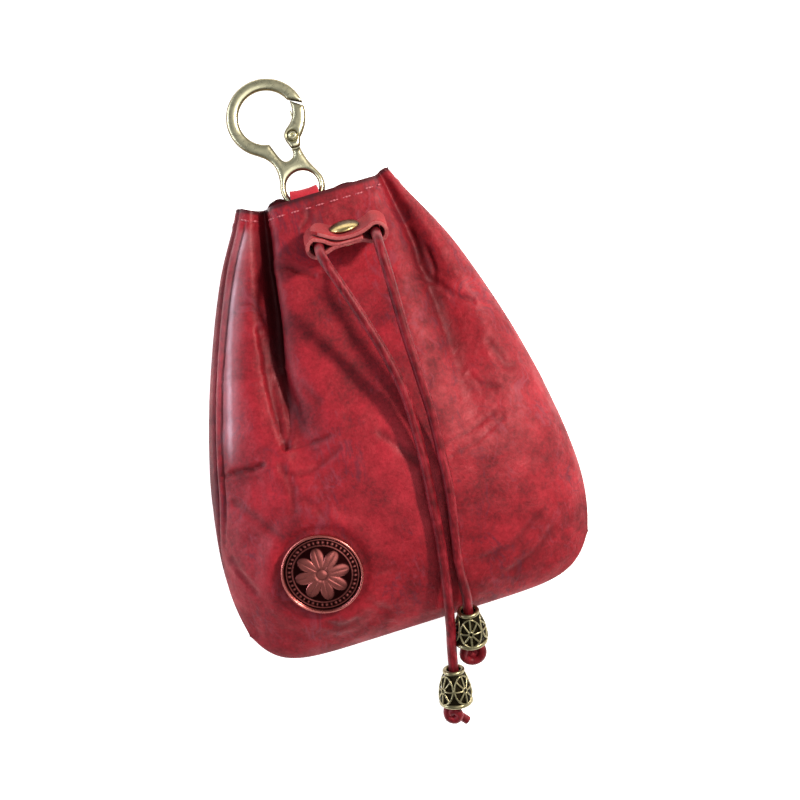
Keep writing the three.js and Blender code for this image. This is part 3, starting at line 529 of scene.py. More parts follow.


# The line of the painted highlight down the left side's fold, and the creases: points across and up in mm, width,
# depth and how dark their painted shade is
paintedHighlightLine = [(-22.1, 127.4), (-27.3, 118.5), (-33.5, 104.4), (-37.6, 91.5), (-41.5, 75.7), (-45.7, 58.9)]
creases = [
    ([(-16.8, 111.4), (-13.2, 110.2), (-11.5, 108.5), (-7.2, 106.1)], 0.9, 0.9, 0.5),
    ([(-3.8, 127), (-4.5, 123.2), (-7.2, 121.1)], 0.7, 0.35, 0.35),
    ([(-27.2, 94.6), (-27.4, 87), (-28.3, 81.4), (-28.5, 72.6), (-28.4, 66.1), (-28.7, 58.6)], 1.0, 0.8, 0.6),
    ([(-23.4, 80.5), (-24.8, 70.4), (-26.4, 61.9), (-28.6, 58.8)], 0.8, 0.6, 0.5),
    ([(-28.6, 58.8), (-23.2, 58), (-18.2, 58.2), (-15, 58.9)], 0.8, 0.5, 0.5),
    ([(-19.4, 76.6), (-17, 72), (-15.3, 69.4)], 0.9, 0.4, 0.4),
    ([(-43.8, 84), (-38.9, 82.7), (-30.8, 81.2)], 0.6, 0.3, 0.2),
    ([(-52, 56.2), (-47.3, 55.2), (-43.7, 55.6), (-39.5, 55.4), (-36.6, 55.9)], 0.8, 0.8, 0.6),
    ([(29.7, 65.6), (32.3, 61.5), (36.3, 60.4)], 0.8, 0.35, 0.25),
    ([(38, 73.8), (40.5, 65.8), (42.1, 65)], 1.2, 0.4, 0.35),
    ([(21.6, 98.1), (28.2, 94.5), (30.8, 90.1), (36.4, 87.1)], 0.8, 0.35, 0.35),
    ([(23.6, 112), (24.4, 106), (23.8, 101), (26, 96)], 0.9, 0.5, 0.5),
    ([(27, 106), (28, 100), (27, 95)], 0.7, 0.35, 0.4),
    ([(-0.2, 55.8), (3.5, 51.5), (7.9, 44.8)], 1.1, 0.35, 0.5),
    ([(-31, 54), (-29.3, 46.8), (-30.7, 40.4)], 1.1, 0.5, 0.45),
    ([(-28.8, 50.6), (-23.5, 50.1), (-17.3, 52.4), (-13.4, 54.5)], 0.9, 0.45, 0.4),
    ([(-27.9, 43.9), (-24.2, 39.6), (-21, 34.1)], 0.9, 0.35, 0.3),
    ([(-47.4, 46.4), (-42.4, 41.1), (-39.4, 37.5), (-36.5, 33.7)], 1.1, 0.4, 0.35),
    ([(-52.8, 31), (-50.7, 24), (-48.3, 19.4)], 0.9, 0.4, 0.3),
    ([(-30.5, 5.7), (-26.6, 2.9), (-21.7, 4)], 0.9, 0.4, 0.3),
    ([(-16.8, 16.8), (-12.3, 16.5), (-6.7, 16.8)], 0.9, 0.3, 0.3),
    ([(-16.5, 8.7), (-11.7, 3.8)], 0.9, 0.3, 0.3),
    ([(16, 48), (26, 50), (34, 53.5)], 0.6, 0.2, 0.35),
    ([(18, 44), (27, 46.5), (36, 51)], 0.6, 0.2, 0.3),
    ([(20, 12), (30, 14), (38, 20)], 1.2, 0.3, 0.35),
    ([(26, 6), (34, 9), (42, 15)], 1.1, 0.3, 0.35),
]


def nearLine(points, line):
    best = np.full(points.shape[:2], 1e9)
    for a, b in zip(line, line[1:]):
        a, b = np.array(a, float), np.array(b, float)
        span = b - a
        t = np.clip(((points[..., :2] - a) @ span) / (span @ span), 0, 1)
        best = np.minimum(best, np.hypot(*np.moveaxis(points[..., :2] - a - t[..., None] * span, -1, 0)))
    return best


def noiseOver(points, size, seed):
    scale = Vector((1, 1, 1)) / size
    offset = Vector((seed * 7.3, seed * 3.1, seed * 5.7))
    flat = points.reshape(-1, 3)
    found = [noise.noise(Vector((p[0] * scale.x, p[1] * scale.y, p[2] * scale.z)) + offset) for p in flat]
    return np.array(found).reshape(points.shape[:2])


def leatherPanel(name, front, cordHoles):
    rows, columns = bag["rows"], bag["columns"]
    t = np.linspace(0, 1, rows + 1)[:, None]
    s = np.linspace(0, 1, columns + 1)[None, :]
    v = t ** 1.12 + 0 * s
    opened = ease((v - 0.08) / 0.3)
    left = math.radians(bag["leftSeam"]) * opened - math.pi / 2
    right = math.radians(bag["rightSeam"]) * opened + math.pi / 2
    gap = bag["seamGap"]
    if front:
        turn = left + gap + (right - left - 2 * gap) * s
    else:
        turn = right + gap + (left + 2 * math.pi - right - 2 * gap) * s
    points = skinPoints(turn, v)
    out = outwardOf(points)
    step = np.linalg.norm(np.diff(points, axis=1), axis=2)
    fromLeft = np.concatenate([np.zeros((rows + 1, 1)), np.cumsum(step, axis=1)], axis=1)
    fromRight = fromLeft[:, -1:] - fromLeft
    climb = np.linalg.norm(np.diff(points, axis=0), axis=2)
    fromBottom = np.concatenate([np.zeros((1, columns + 1)), np.cumsum(climb, axis=0)], axis=0)
    fromTop = fromBottom[-1:] - fromBottom
    edge = np.minimum(np.minimum(fromLeft, fromRight), fromBottom)
    clear = ease((edge - 1) / 6) * ease((fromTop - 1) / 5)
    medalFar = np.hypot(points[..., 0] - medal["x"], points[..., 1] - medal["y"]) - medal["diameter"] / 2
    clear = clear * ease((medalFar - 0.3) / 4) if front else clear
    height = 0.42 * noiseOver(points, 11, 1) + 0.2 * noiseOver(points, 4.5, 2) + 0.1 * noiseOver(points, 1.9, 3)
    height *= clear * (1 if front else 0.35)
    # painted shade: darkest in the creases, the pleat valleys, the seam groove and along the sides
    paintedShade = np.zeros_like(height)
    if front:
        for line, width, depth, dark in creases:
            near = nearLine(points, line) + 0.35 * noiseOver(points, 3, 5)
            height -= depth * bump(near, width) * clear
            height += 0.3 * depth * bump(near - 2 * width, width) * clear
            paintedShade = np.maximum(paintedShade, dark * bump(near, width * 1.1) * clear)
        for pleat, reach, middle, most in ((leftPleat, 4.4, -0.4, 1.1), (rightPleat, 3.6, 0.6, 0.95)):
            off = valleyOff(pleat, np.sin(turn), points[..., 1])
            depth = along(pleat["depth"], points[..., 1] / bag["mouthAt"]) / 10
            paintedShade = np.maximum(paintedShade, np.minimum(0.88, most * depth * bump(off - middle, reach)))
        # piped left seam: a raised ridge between the edge and a groove, both darkened with painted shade
        piped = ease((v - 0.2) / 0.15) * ease((0.985 - v) / 0.03)
        height += piped * (0.35 * bump(fromLeft - 2.0, 0.8) - 0.5 * bump(fromLeft - 3.6, 0.5))
        paintedShade = np.maximum(paintedShade, piped * 0.6 * bump(fromLeft - 3.6, 0.5))
        # a shallow seat pressed round the medallion, with painted shade round it
        height -= 0.5 * bump(medalFar - 0.8, 1.0)
        paintedShade = np.maximum(paintedShade, 0.3 * bump(medalFar - 0.5, 0.9))
    # the hem: two layers thick, with a stitched groove
    height += 0.25 * ease((6.4 - fromTop) / 1.2) - 0.22 * bump(fromTop - 3.6, 0.5)
    height -= 0.45 * bump(edge, 0.6)
    points = points + out * height[..., None]
    if not front:
        points[..., 2] = np.maximum(points[..., 2], 0.0)
    # painted shade along the front's sides, and over the part of the back that turns to face up
    side = np.minimum(fromLeft, fromRight)
    paintedShade = np.maximum(paintedShade, 0.5 * bump(side, 1.1) if front else 0.45 * (np.cos(turn) > 0))
    rim = 0.85 * ease((1.8 - fromTop) / 0.8)
    raw = np.zeros_like(rim)
    gloss = np.zeros_like(rim)
    if front:
        # the gloss mask lowers the roughness along the left fold and also paints a pale highlight into the colour
        near = nearLine(points, paintedHighlightLine) + 0.25 * noiseOver(points, 2.2, 8)
        gloss = np.maximum(bump(near, 1.0), 0.4 * bump(near, 2.6))
        gloss *= np.clip(0.85 + 0.5 * noiseOver(points, 9, 8), 0, 1)
        gloss *= ease((v - 0.42) / 0.1) * ease((0.965 - v) / 0.02)
        raw = 0.8 * ease((0.9 - fromBottom) / 0.6) * ease((points[..., 0] - 8) / 12)
    # the wall thins out towards the two lower corners, where the panels meet
    corners = [np.linalg.norm(points - points[0, j], axis=2) for j in (0, -1)]
    share = ease((np.minimum(*corners) - 0.6) / 5)
    bm = bmesh.new()
    bmesh.ops.create_grid(bm, x_segments=columns, y_segments=rows, size=1)
    values = {"paintedShade": paintedShade, "rim": rim, "raw": raw, "share": share, "gloss": gloss}
    layers = {key: bm.verts.layers.float.new(key) for key in values}
    for vert in bm.verts:
        i = round((vert.co.y + 1) / 2 * rows)
        j = round((vert.co.x + 1) / 2 * columns)
        vert.co = points[i, j]
        for key, layer in layers.items():
            vert[layer] = values[key][i, j]
    for centre, axis in cordHoles:
        doomed = [f for f in bm.faces if (f.calc_center_median() - centre).length < bag["holeCut"]]
        bmesh.ops.delete(bm, geom=doomed, context="FACES")
        for border in [e for e in bm.edges if e.is_boundary]:
            for vert in border.verts:
                away = vert.co - centre
                if away.length < bag["holeRim"]:
                    level = away.dot(axis)
                    flat = away - axis * level
                    vert.co = centre + axis * level + flat.normalized() * bag["holeRadius"]
    mesh = closeMesh(name, bm, recalc=False, near=0.12)
    node = "front_panel" if front else "back_panel"
    piece = addPiece(name, mesh, "pouch", [leather], [node])
    thinned = piece.vertex_groups.new(name="share")
    for k, item in enumerate(mesh.attributes["share"].data):
        thinned.add([k], item.value, "REPLACE")
    wall = piece.modifiers.new("wall", "SOLIDIFY")
    wall.vertex_group = "share"
    wall.thickness = bag["wall"] * mm
    wall.offset = -1
    rounded = piece.modifiers.new("rounded", "BEVEL")
    rounded.width = 0.5 * mm
    rounded.segments = 3
    rounded.limit_method = "ANGLE"
    rounded.angle_limit = math.radians(55)
    return points, out, fromTop


# Where a cord's line meets the panel, and its direction there
def crossing(line, grid):
    flat = grid.reshape(-1, 3)
    gaps = [np.linalg.norm(flat - np.array(p), axis=1).min() for p in line[1:-1]]
    best = int(np.argmin(gaps)) + 1
    return line[best], (line[best + 1] - line[best - 1]).normalized()


mouthGrid = skinPoints(*np.meshgrid(np.linspace(-1.2, 1.2, 160), np.linspace(0.8, 1, 90)))
leftWay = smoothLine([inTunnel(-1, -3), inTunnel(-1, -6), *innerRun[:3]], 0.4)
rightWay = smoothLine([*innerRun[-3:], inTunnel(1, -6), inTunnel(1, -3)], 0.4)
holes = [crossing(leftWay, mouthGrid), crossing(rightWay, mouthGrid)]
frontPoints, frontOut, frontTop = leatherPanel("bagFront", True, holes)
backPoints, backOut, backTop = leatherPanel("bagBack", False, [])


# The hidden run keeps under the folds of the front panel
def underSkin(point):
    place = Vector(point)
    if place.y > 116.5 and abs(place.x - keeperPlace.x) < 11:
        return place
    above = frontPoints.reshape(-1, 3)
    near = above[np.hypot(above[:, 0] - place.x, above[:, 1] - place.y) < 2.6]
    lowest = near[:, 2].min() if len(near) else 99
    place.z = max(3.4, min(place.z, lowest - bag["wall"] - cords["diameter"] / 2 - 0.5))
    return place


insideRoute = hidden[:2] + [underSkin(p) for p in innerRun] + hidden[-2:]
layCord("cordInside", insideRoute)
print("leather bag made")


# Hem stitches: short dashes of thread in a groove below each edge
stitching = {"below": 3.6, "pitch": 4.0, "length": 2.7, "thick": 0.62}


def stitchRow(name, points, out, fromTop):
    path = []
    for j in range(7, points.shape[1] - 6):
        i = int(np.argmin(np.abs(fromTop[:, j] - stitching["below"])))
        path.append((Vector(points[i, j]), Vector(out[i, j])))
    bm = bmesh.new()
    walked = 0.0
    due = 2.0
    for (a, upA), (b, _) in zip(path, path[1:]):
        length = (b - a).length
        if walked + length >= due:
            way = (b - a).normalized()
            due += stitching["pitch"]
            if abs(way.y) > 0.6 or abs(way.z) > 0.93:
                walked += length
                continue
            side = upA.cross(way).normalized()
            up = way.cross(side)
            place = Matrix((way, side, up)).transposed().to_4x4()
            place.translation = a + up * 0.02
            size = Matrix.Diagonal((stitching["length"] / 2, stitching["thick"] / 2, stitching["thick"] / 2, 1))
            bmesh.ops.create_uvsphere(bm, u_segments=6, v_segments=8, radius=1,
                                      matrix=place @ size @ Matrix.Rotation(math.pi / 2, 4, "Y"))
        walked += length
    return addPiece(name, closeMesh(name, bm), "pouch", [linen])


stitchRow("stitchesFront", frontPoints, frontOut, frontTop)
stitchRow("stitchesBack", backPoints, backOut, backTop)


# Keeper: one nubuck strap wound into two loops and riveted through its middle
def ringPoints(x, radius, start, end, count):
    angles = [math.radians(start + (end - start) * k / (count - 1)) for k in range(count)]
    return [(x + radius * math.cos(a), radius * math.sin(a), 0) for a in angles]


# Gives a strap its thickness and soft edges, and its cut edges their own material
def finishStrap(bm, thick, acrossAxis):
    bmesh.ops.recalc_face_normals(bm, faces=bm.faces)
    bmesh.ops.solidify(bm, geom=bm.faces[:], thickness=thick)
    bmesh.ops.recalc_face_normals(bm, faces=bm.faces)
    sharp = [e for e in bm.edges if len(e.link_faces) == 2 and e.calc_face_angle(0) > 1.0]
    bmesh.ops.bevel(bm, geom=sharp, offset=0.25, affect="EDGES", segments=2, profile=0.5, material=-1)
    for face in bm.faces:
        face.normal_update()
        face.material_index = 1 if abs(face.normal[acrossAxis]) > 0.75 else 0


# The strap's middle line, seen along the tunnels: rounded end on top, right loop, under, left loop, inside
strapRoute = [
    (-10.1, 4.3, 0), (-8.4, 4.6, 0), (-6.4, 3.9, 0), (-4.4, 2.75, 0), (-2.2, 1.85, 0),
    (0, 1.6, 0), (2.4, 1.65, 0), (4.6, 2.0, 0), (6.4, 2.7, 0),
    *[(x + 0.3, y + 0.1, z) for x, y, z in ringPoints(8.6, 3.55, 100, -96, 14)],
    (6.2, -2.7, 0), (4.6, -1.9, 0), (2.2, -1.62, 0), (0, -1.6, 0), (-2.2, -1.62, 0), (-4.6, -1.9, 0), (-6.6, -2.6, 0),
    *[(x - 0.6, y - 0.05, z) for x, y, z in ringPoints(-8.6, 3.45, -96, -262, 14)],
    (-6.6, 2.1, 0), (-4.6, 0.7, 0), (-2.4, 0.05, 0), (0, 0, 0), (2.6, 0, 0), (4.6, 0.15, 0),
]


def keeperStrap():
    line = smoothLine(strapRoute, 0.5)
    walked = [0.0]
    for a, b in zip(line, line[1:]):
        walked.append(walked[-1] + (b - a).length)
    bm = bmesh.new()
    bmesh.ops.create_grid(bm, x_segments=12, y_segments=len(line) - 1, size=1)
    for vert in bm.verts:
        k = round((vert.co.y + 1) / 2 * (len(line) - 1))
        half = keeper["width"] / 2
        if walked[k] < keeper["tip"]:
            half *= max(0.12, 1 - (1 - walked[k] / keeper["tip"]) ** 2.2) ** 0.6
        vert.co = line[k] + Vector((0, 0, half * vert.co.x))
    finishStrap(bm, keeper["thick"], 2)
    mesh = closeMesh("keeperStrap", bm, toRow @ keeperFrame)
    addPiece("keeperStrap", mesh, "keeper", [keeperLeather, rawEdge], ["keeper_strap"])


keeperStrap()


# A turned piece: its profile of (radius, height) is spun round the height axis
def spun(name, profile, place, body, material, node=None, steps=64, shade=None):
    bm = bmesh.new()
    verts = [bm.verts.new((r, 0, z)) for r, z in profile]
    edges = [bm.edges.new(pair) for pair in zip(verts, verts[1:])]
    bmesh.ops.spin(bm, geom=verts + edges, cent=(0, 0, 0), axis=(0, 0, 1), angle=2 * math.pi, steps=steps,
                   use_merge=True)
    if shade:
        layer = bm.verts.layers.float.new("shadeAndPatina")
        for vert in bm.verts:
            vert[layer] = shade(vert.co)
    return addPiece(name, closeMesh(name, bm, place), body, [material], [node] if node else [])


def arcProfile(centreR, centreZ, radius, start, end, count=7, squash=1.0):
    angles = [math.radians(start + (end - start) * k / (count - 1)) for k in range(count)]
    return [(centreR + radius * math.cos(a), centreZ + radius * squash * math.sin(a)) for a in angles]


capFrame = toRow @ keeperFrame @ Matrix.Rotation(-math.pi / 2, 4, "X")
dome = [(4.6 * math.sin(a), 2.45 + 1.65 * math.cos(a)) for a in [math.pi / 2 * k / 12 for k in range(13)]]
capProfile = [(0, 4.1)] + dome[1:] + [(4.5, 2.3), (1.6, 2.3), (1.6, -2.3), (0, -2.3)]
baseProfile = [(0, -2.42), (2.4, -2.42), (2.5, -2.55), (2.3, -2.8), (0, -3)]
# the cap is browned over one side of its dome: painted shade
spun("rivetCap", capProfile, capFrame, "keeper", capBrass, "keeper_rivet_cap",
     shade=lambda co: float(ease((3.3 + co.y) / 2.2)))
spun("rivetBase", baseProfile, capFrame, "keeper", paleBrass, "keeper_rivet_base")
print("keeper made")


# Beads: cast wheel filigree over a dark barrel that stands in for the blackened, shaded inside of the hollow bead
# (painted shade), with a collar and a foot rim
filigree = {
    "wheels": 4, "middle": 5.6, "halfHeight": 4.3, "halfTurn": 42, "spokes": 8, "hub": 0.75, "wire": 0.3,
    "leftLift": 1.1, "leftRoll": 28, "rightLift": 1.9, "rightRoll": -8,
}
barrel = [(0, 4.4), (1, 4.95), (2.6, 5), (6.0, 4.5), (8.4, 3.75), (10.2, 2.95), (11.5, 2.7)]


def onBarrel(turn, z, out=0.0):
    radius = float(np.interp(z, *zip(*barrel))) + out
    return Vector((radius * math.cos(turn), radius * math.sin(turn), z))


def wheelLines():
    rings, spokes = [], []
    for k in range(filigree["wheels"]):
        middle = 2 * math.pi * k / filigree["wheels"]
        halfTurn = math.radians(filigree["halfTurn"])

        def at(share, angle):
            z = filigree["middle"] + filigree["halfHeight"] * share * math.sin(angle)
            widen = 1 + 0.12 * math.sin(angle) * share
            return onBarrel(middle + halfTurn * widen * share * math.cos(angle), z, 0.05)
        rings.append([at(1, 2 * math.pi * n / 36) for n in range(36)])
        hubShare = filigree["hub"] / filigree["halfHeight"]
        rings.append([at(hubShare * 1.15, 2 * math.pi * n / 12) for n in range(12)])
        for n in range(filigree["spokes"]):
            angle = 2 * math.pi * n / filigree["spokes"]
            spokes.append([at(hubShare + (1 - hubShare) * m / 5, angle) for m in range(6)])
    return rings, spokes


def makeBead(name, bead, lift, roll, node):
    foot, aim = bead[0] + bead[1] * lift, bead[1]
    turned = Vector((0, 0, 1)).rotation_difference(aim).to_matrix().to_4x4()
    place = toRow @ Matrix.Translation(foot) @ turned @ Matrix.Rotation(math.radians(roll), 4, "Z")
    rings, spokes = wheelLines()
    bm = bmesh.new()
    for lines, closed in ((rings, True), (spokes, False)):
        wires = baked(bpy.data.objects.new("wires", curveOf("wires", lines, filigree["wire"], closed, 1)))
        bm.from_mesh(wires)
    bmesh.ops.transform(bm, matrix=place, verts=bm.verts)
    mesh = bpy.data.meshes.new(name)
    for face in bm.faces:
        face.smooth = True
    bm.to_mesh(mesh)
    bm.free()
    # the bead's CAD node and its body have one name
    addPiece(name + "Filigree", mesh, node, [beadBrass], [node])
    collar = arcProfile(2.75, 10.9, 0.62, 250, 520, 14, 1.1)
    spun(name + "Collar", collar + [collar[0]], place, node, beadBrass, node, 48)
    footRim = arcProfile(4.55, 0.75, 0.62, -60, 300, 14, 1.15)
    spun(name + "Foot", footRim, place, node, beadBrass, node, 48)
    # the barrel: a dark tube under the filigree, painted shade in place of the bead's hollow inside
    skinLine = [(float(np.interp(z, *zip(*barrel))) - 0.42, z) for z in np.linspace(0.7, 10.9, 14)]
    inside = [(r - 0.45, z) for r, z in reversed(skinLine)]
    spun(name + "Barrel", skinLine + inside + [skinLine[0]], place, node, shadeLinerBrass, node, 40)


makeBead("beadLeft", beadLeft, filigree["leftLift"], filigree["leftRoll"], "bead_left")
makeBead("beadRight", beadRight, filigree["rightLift"], filigree["rightRoll"], "bead_right")


# Knots: the cord's end doubled and tucked below each bead; points are across, along and up from the bead's foot
def knotPiece(name, bead, lift, route, node):
    foot, aim = bead[0] + bead[1] * lift, bead[1]
    side = aim.cross(Vector((0, 0, 1))).normalized()
    up = side.cross(aim)
    points = [toRow @ (foot + side * x + aim * y + up * z) for x, y, z in route]
    curve = curveOf(name, [smoothLine(points, 0.6 * mm)], 1.32 * mm, sides=5)
    return addPiece(name, curve, "pouch", [cordLeather], [node])


knotRightPiece = knotPiece("knotRight", beadRight, filigree["rightLift"], [
    (-0.4, 2, 0.2), (-1.2, -0.6, 0.5), (-2.3, -2.6, 0.6), (-2.6, -4.8, 0.5), (-1.4, -6.7, 0.3), (0.6, -7.2, 0.1),
    (2.4, -6.2, 0), (3.1, -4.2, -0.2), (2.4, -2.3, -0.8), (0.6, -1.6, -1.5), (-0.9, -2.6, -1.6), (-1.3, -4.3, -1.2),
    (-0.2, -5.7, -1.1), (1.2, -5.4, -1.3), (1.3, -3.8, -1.9),
], "knot_right")
knotLeftPiece = knotPiece("knotLeft", beadLeft, filigree["leftLift"], [
    (-0.3, 2, 0), (-1.4, -0.3, 0.2), (-2.8, -2.0, 0.4), (-2.5, -4.6, 0.5), (-0.6, -5.2, 0.9), (0.6, -3.4, 1.3),
    (-0.6, -1.8, 1.5), (-1.8, -2.6, 0.9), (-0.8, -3.8, -0.4), (1.0, -5.0, -0.7), (3.0, -6.8, -0.9),
], "knot_left")
print("beads and knots made")


# Hanging loop: a strap folded through the clip's eye. Its middle line is (up, out) from the bag's foot
loop = {"thick": 1.5, "leftHalf": 5.3, "rightHalf": 6.7, "foldHalf": 4.5}
pivot = Vector((-4, 128.6, 6.2))
loopLine = [(y, z, 0) for y, z in [(119, 3.35), (121.5, 3.35), (123.8, 3.4), (126.2, 3.42)]]
loopLine += [(pivot.y + 3.15 * c, pivot.z + 2.85 * s, 0) for c, s, _ in ringPoints(0, 1, -90, 90, 11)]
loopLine += [(126, 8.9, 0), (123.6, 6.9, 0), (121.6, 5.75, 0), (119, 5.5, 0)]


def foldedLoop():
    line = smoothLine(loopLine, 0.5)
    bm = bmesh.new()
    bmesh.ops.create_grid(bm, x_segments=18, y_segments=len(line) - 1, size=1)
    for vert in bm.verts:
        spot = line[round((vert.co.y + 1) / 2 * (len(line) - 1))]
        inFold = float(ease((spot.x - pivot.y + 3.6) / 4.4))
        half = loop["leftHalf"] + (loop["foldHalf"] - loop["leftHalf"]) * inFold
        if vert.co.x > 0:
            atFoot = 1 - float(ease((spot.x - pivot.y + 1.6) / 3))
            half = loop["foldHalf"] + (loop["rightHalf"] - loop["foldHalf"]) * atFoot
        sag = 0.5 * (1 - vert.co.x ** 2) * inFold
        vert.co = Vector((pivot.x + half * vert.co.x, spot.x - sag, spot.y))
    finishStrap(bm, loop["thick"], 0)
    mesh = closeMesh("hangingLoop", bm)
    addPiece("hangingLoop", mesh, "pouch", [loopLeather, rawEdge], ["hanging_loop"])


foldedLoop()


# Snap clip: cast plates rounded like the real ring, turned and laid back from the fold. The ring is at the plates'
# own origin and the eye below it
clip = {
    "x": -4, "y": 133.6, "z": 6.2, "ringOut": 12.1, "ringIn": 8.4, "reach": 24.1, "eyeOut": 6.8, "eyeIn": 5.0,
    "thick": 2.8, "turn": 12.9, "rounded": 1.75,
}
gate = {"x": 4.5, "y": -8.8, "base": 3.9, "hole": 1.4, "slot": 1.5, "tongue": 1.0, "stemTurn": -12}
eyeY = -clip["reach"]
pivotY = clip["y"] - (clip["eyeOut"] + clip["eyeIn"]) / 2 + 0.9
ringDrop = clip["z"] - clip["thick"] / 2 - 0.05
clipTilt = math.asin(ringDrop / (clip["reach"] + clip["ringOut"] + clip["y"] - pivotY))
clipPlace = (toRow @ Matrix.Translation((clip["x"], pivotY, clip["z"])) @ Matrix.Rotation(-clipTilt, 4, "X")
             @ Matrix.Translation((0, clip["y"] - pivotY, 0)) @ Matrix.Rotation(math.radians(clip["turn"]), 4, "Z")
             @ Matrix.Translation((0, clip["reach"], 0)))
pinSpot = Matrix.Translation((gate["x"], gate["y"], 0))
stemWay = pinSpot @ Matrix.Rotation(math.radians(gate["stemTurn"]), 4, "Z")


def arc(x, y, radius, start, end, count=24):
    angles = [math.radians(start + (end - start) * k / count) for k in range(count + 1)]
    return [(x + radius * math.cos(a), y + radius * math.sin(a)) for a in angles]


def curveThrough(a, b, c, d, count=12):
    found = []
    for k in range(1, count):
        t = k / count
        weights = ((1 - t) ** 3, 3 * t * (1 - t) ** 2, 3 * t * t * (1 - t), t ** 3)
        found.append(tuple(sum(w * p[i] for w, p in zip(weights, (a, b, c, d))) for i in (0, 1)))
    return found


def onRing(radius, degrees):
    return (radius * math.cos(math.radians(degrees)), radius * math.sin(math.radians(degrees)))


# Outlines measured from the picture, anticlockwise
def frameOutline():
    lobe = arc(0, 0, clip["ringOut"], -6, 229, 60)
    eyeLobe = arc(0, eyeY, clip["eyeOut"], 146, 365, 44)
    seat = arc(gate["x"], gate["y"], gate["base"] + 0.3, -83, -122, 8)
    inner = arc(0, 0, clip["ringIn"], 250, 13, 60)
    dip = (-0.2, -15.1)
    line = lobe + curveThrough(lobe[-1], (-5.2, -12), (-3.4, -14.5), eyeLobe[0]) + eyeLobe
    line += curveThrough(eyeLobe[-1], (6.2, eyeY + 3.6), (4.6, -18), seat[0]) + seat
    line += curveThrough(seat[-1], (2.6, -13.8), (1.9, -15.1), dip) + [dip]
    return line + curveThrough(dip, (-2.1, -15.1), (-2.2, -12.6), inner[0]) + inner


def gateOutline():
    start = onRing(clip["ringIn"] + 0.4, 8)
    knee = (4.6, -5.6)
    heel = (2.2, -10.2)
    base = arc(gate["x"], gate["y"], gate["base"], -122, -83, 8)
    outer = arc(0, 0, clip["ringOut"], -58, -10, 20)
    line = [start] + curveThrough(start, (8.4, -2.2), (7.2, -4.2), knee) + [knee]
    line += curveThrough(knee, (2.6, -6.5), (1.6, -7.8), heel) + [heel] + base
    middle = (5.6, -12.3)
    for t in (0.25, 0.5, 0.75):
        weights = ((1 - t) ** 2, 2 * t * (1 - t), t * t)
        line.append(tuple(sum(w * p[i] for w, p in zip(weights, (base[-1], middle, outer[0]))) for i in (0, 1)))
    return line + outer


# A plate with its faces crowned towards the edges, as a casting has them; voxel is the size of its small faces
def castPlate(name, outline, hole, voxel, cutters=()):
    curve = bpy.data.curves.new(name, "CURVE")
    curve.dimensions = "2D"
    curve.fill_mode = "BOTH"
    curve.extrude = clip["thick"] / 2
    for edge in (outline, hole):
        spline = curve.splines.new("POLY")
        spline.points.add(len(edge) - 1)
        for point, place in zip(spline.points, edge):
            point.co = (*place, 0, 1)
        spline.use_cyclic_u = True
    blank = bpy.data.objects.new(name, baked(bpy.data.objects.new(name, curve)))
    blank.modifiers.new("join", "WELD").merge_threshold = 0.001
    for cutter in cutters:
        cut = blank.modifiers.new("cut", "BOOLEAN")
        cut.object = cutter
        cut.operation = "DIFFERENCE"
    remesh = blank.modifiers.new("remesh", "REMESH")
    remesh.mode = "VOXEL"
    remesh.voxel_size = voxel
    polish = blank.modifiers.new("polish", "SMOOTH")
    polish.iterations = 3
    mesh = baked(blank)
    places = np.empty(len(mesh.vertices) * 3)
    mesh.vertices.foreach_get("co", places)
    places = places.reshape(-1, 1, 3)
    inward = np.minimum(*[nearLine(places, edge + edge[:1]) for edge in (outline, hole)])
    share = np.clip(inward / clip["rounded"], 0, 1)
    places[..., 2] *= 0.22 + 0.78 * np.sqrt(1 - (1 - share) ** 2)
    # darker along the outline and round the holes: painted shade
    shadeAndPatina = mesh.attributes.new("shadeAndPatina", "FLOAT", "POINT")
    shadeAndPatina.data.foreach_set("value", (0.95 * np.clip(1 - inward / 0.8, 0, 1)).ravel())
    mesh.vertices.foreach_set("co", places.ravel())
    mesh.transform(clipPlace)
    for face in mesh.polygons:
        face.use_smooth = True
    return mesh


def cutterOf(name, bm):
    mesh = bpy.data.meshes.new(name)
    bm.to_mesh(mesh)
    bm.free()
    cutter = bpy.data.objects.new(name, mesh)
    scene.collection.objects.link(cutter)
    return cutter


# A disc at the pin, for the slot in the gate or the tongue on the frame
def pinDisc(radius, thick, segments):
    bm = bmesh.new()
    bmesh.ops.create_cone(bm, cap_ends=True, segments=segments, radius1=radius, radius2=radius, depth=thick,
                          matrix=pinSpot)
    return bm


def addStem(bm, back, size):
    place = stemWay @ Matrix.Translation((0, back, 0)) @ Matrix.Diagonal((*size, 1))
    bmesh.ops.create_cube(bm, size=1, matrix=place)
    return bm


frameMesh = castPlate("clipFrame", frameOutline(), arc(0, eyeY, clip["eyeIn"], 360, 0, 60)[:-1], 0.25)
addPiece("clipFrame", frameMesh, "clip", [paleBrass], ["clip_frame"])
cutters = [
    cutterOf("slot", pinDisc(2.4, gate["slot"], 32)),
    cutterOf("stem", addStem(bmesh.new(), -3, (12, 6, gate["slot"]))),
]
gateHole = arc(gate["x"], gate["y"], gate["hole"], 360, 0, 40)[:-1]
gateMesh = castPlate("clipGate", gateOutline(), gateHole, 0.2, cutters)
for cutter in cutters:
    bpy.data.objects.remove(cutter)
addPiece("clipGate", gateMesh, "gate", [paleBrass], ["clip_gate"])
tongue = addStem(pinDisc(2.1, gate["tongue"], 36), -2.9, (2.4, 5.4, gate["tongue"]))
tongueMesh = closeMesh("clipTongue", tongue, clipPlace, smooth=False)
addPiece("clipTongue", tongueMesh, "clip", [paleBrass])
pinEnd = [(0.5, 1.35), (0.62, 1.48), (1.05, 1.5), (1.18, 1.38)]
pinRing = [(r, -z) for r, z in pinEnd] + pinEnd[::-1]
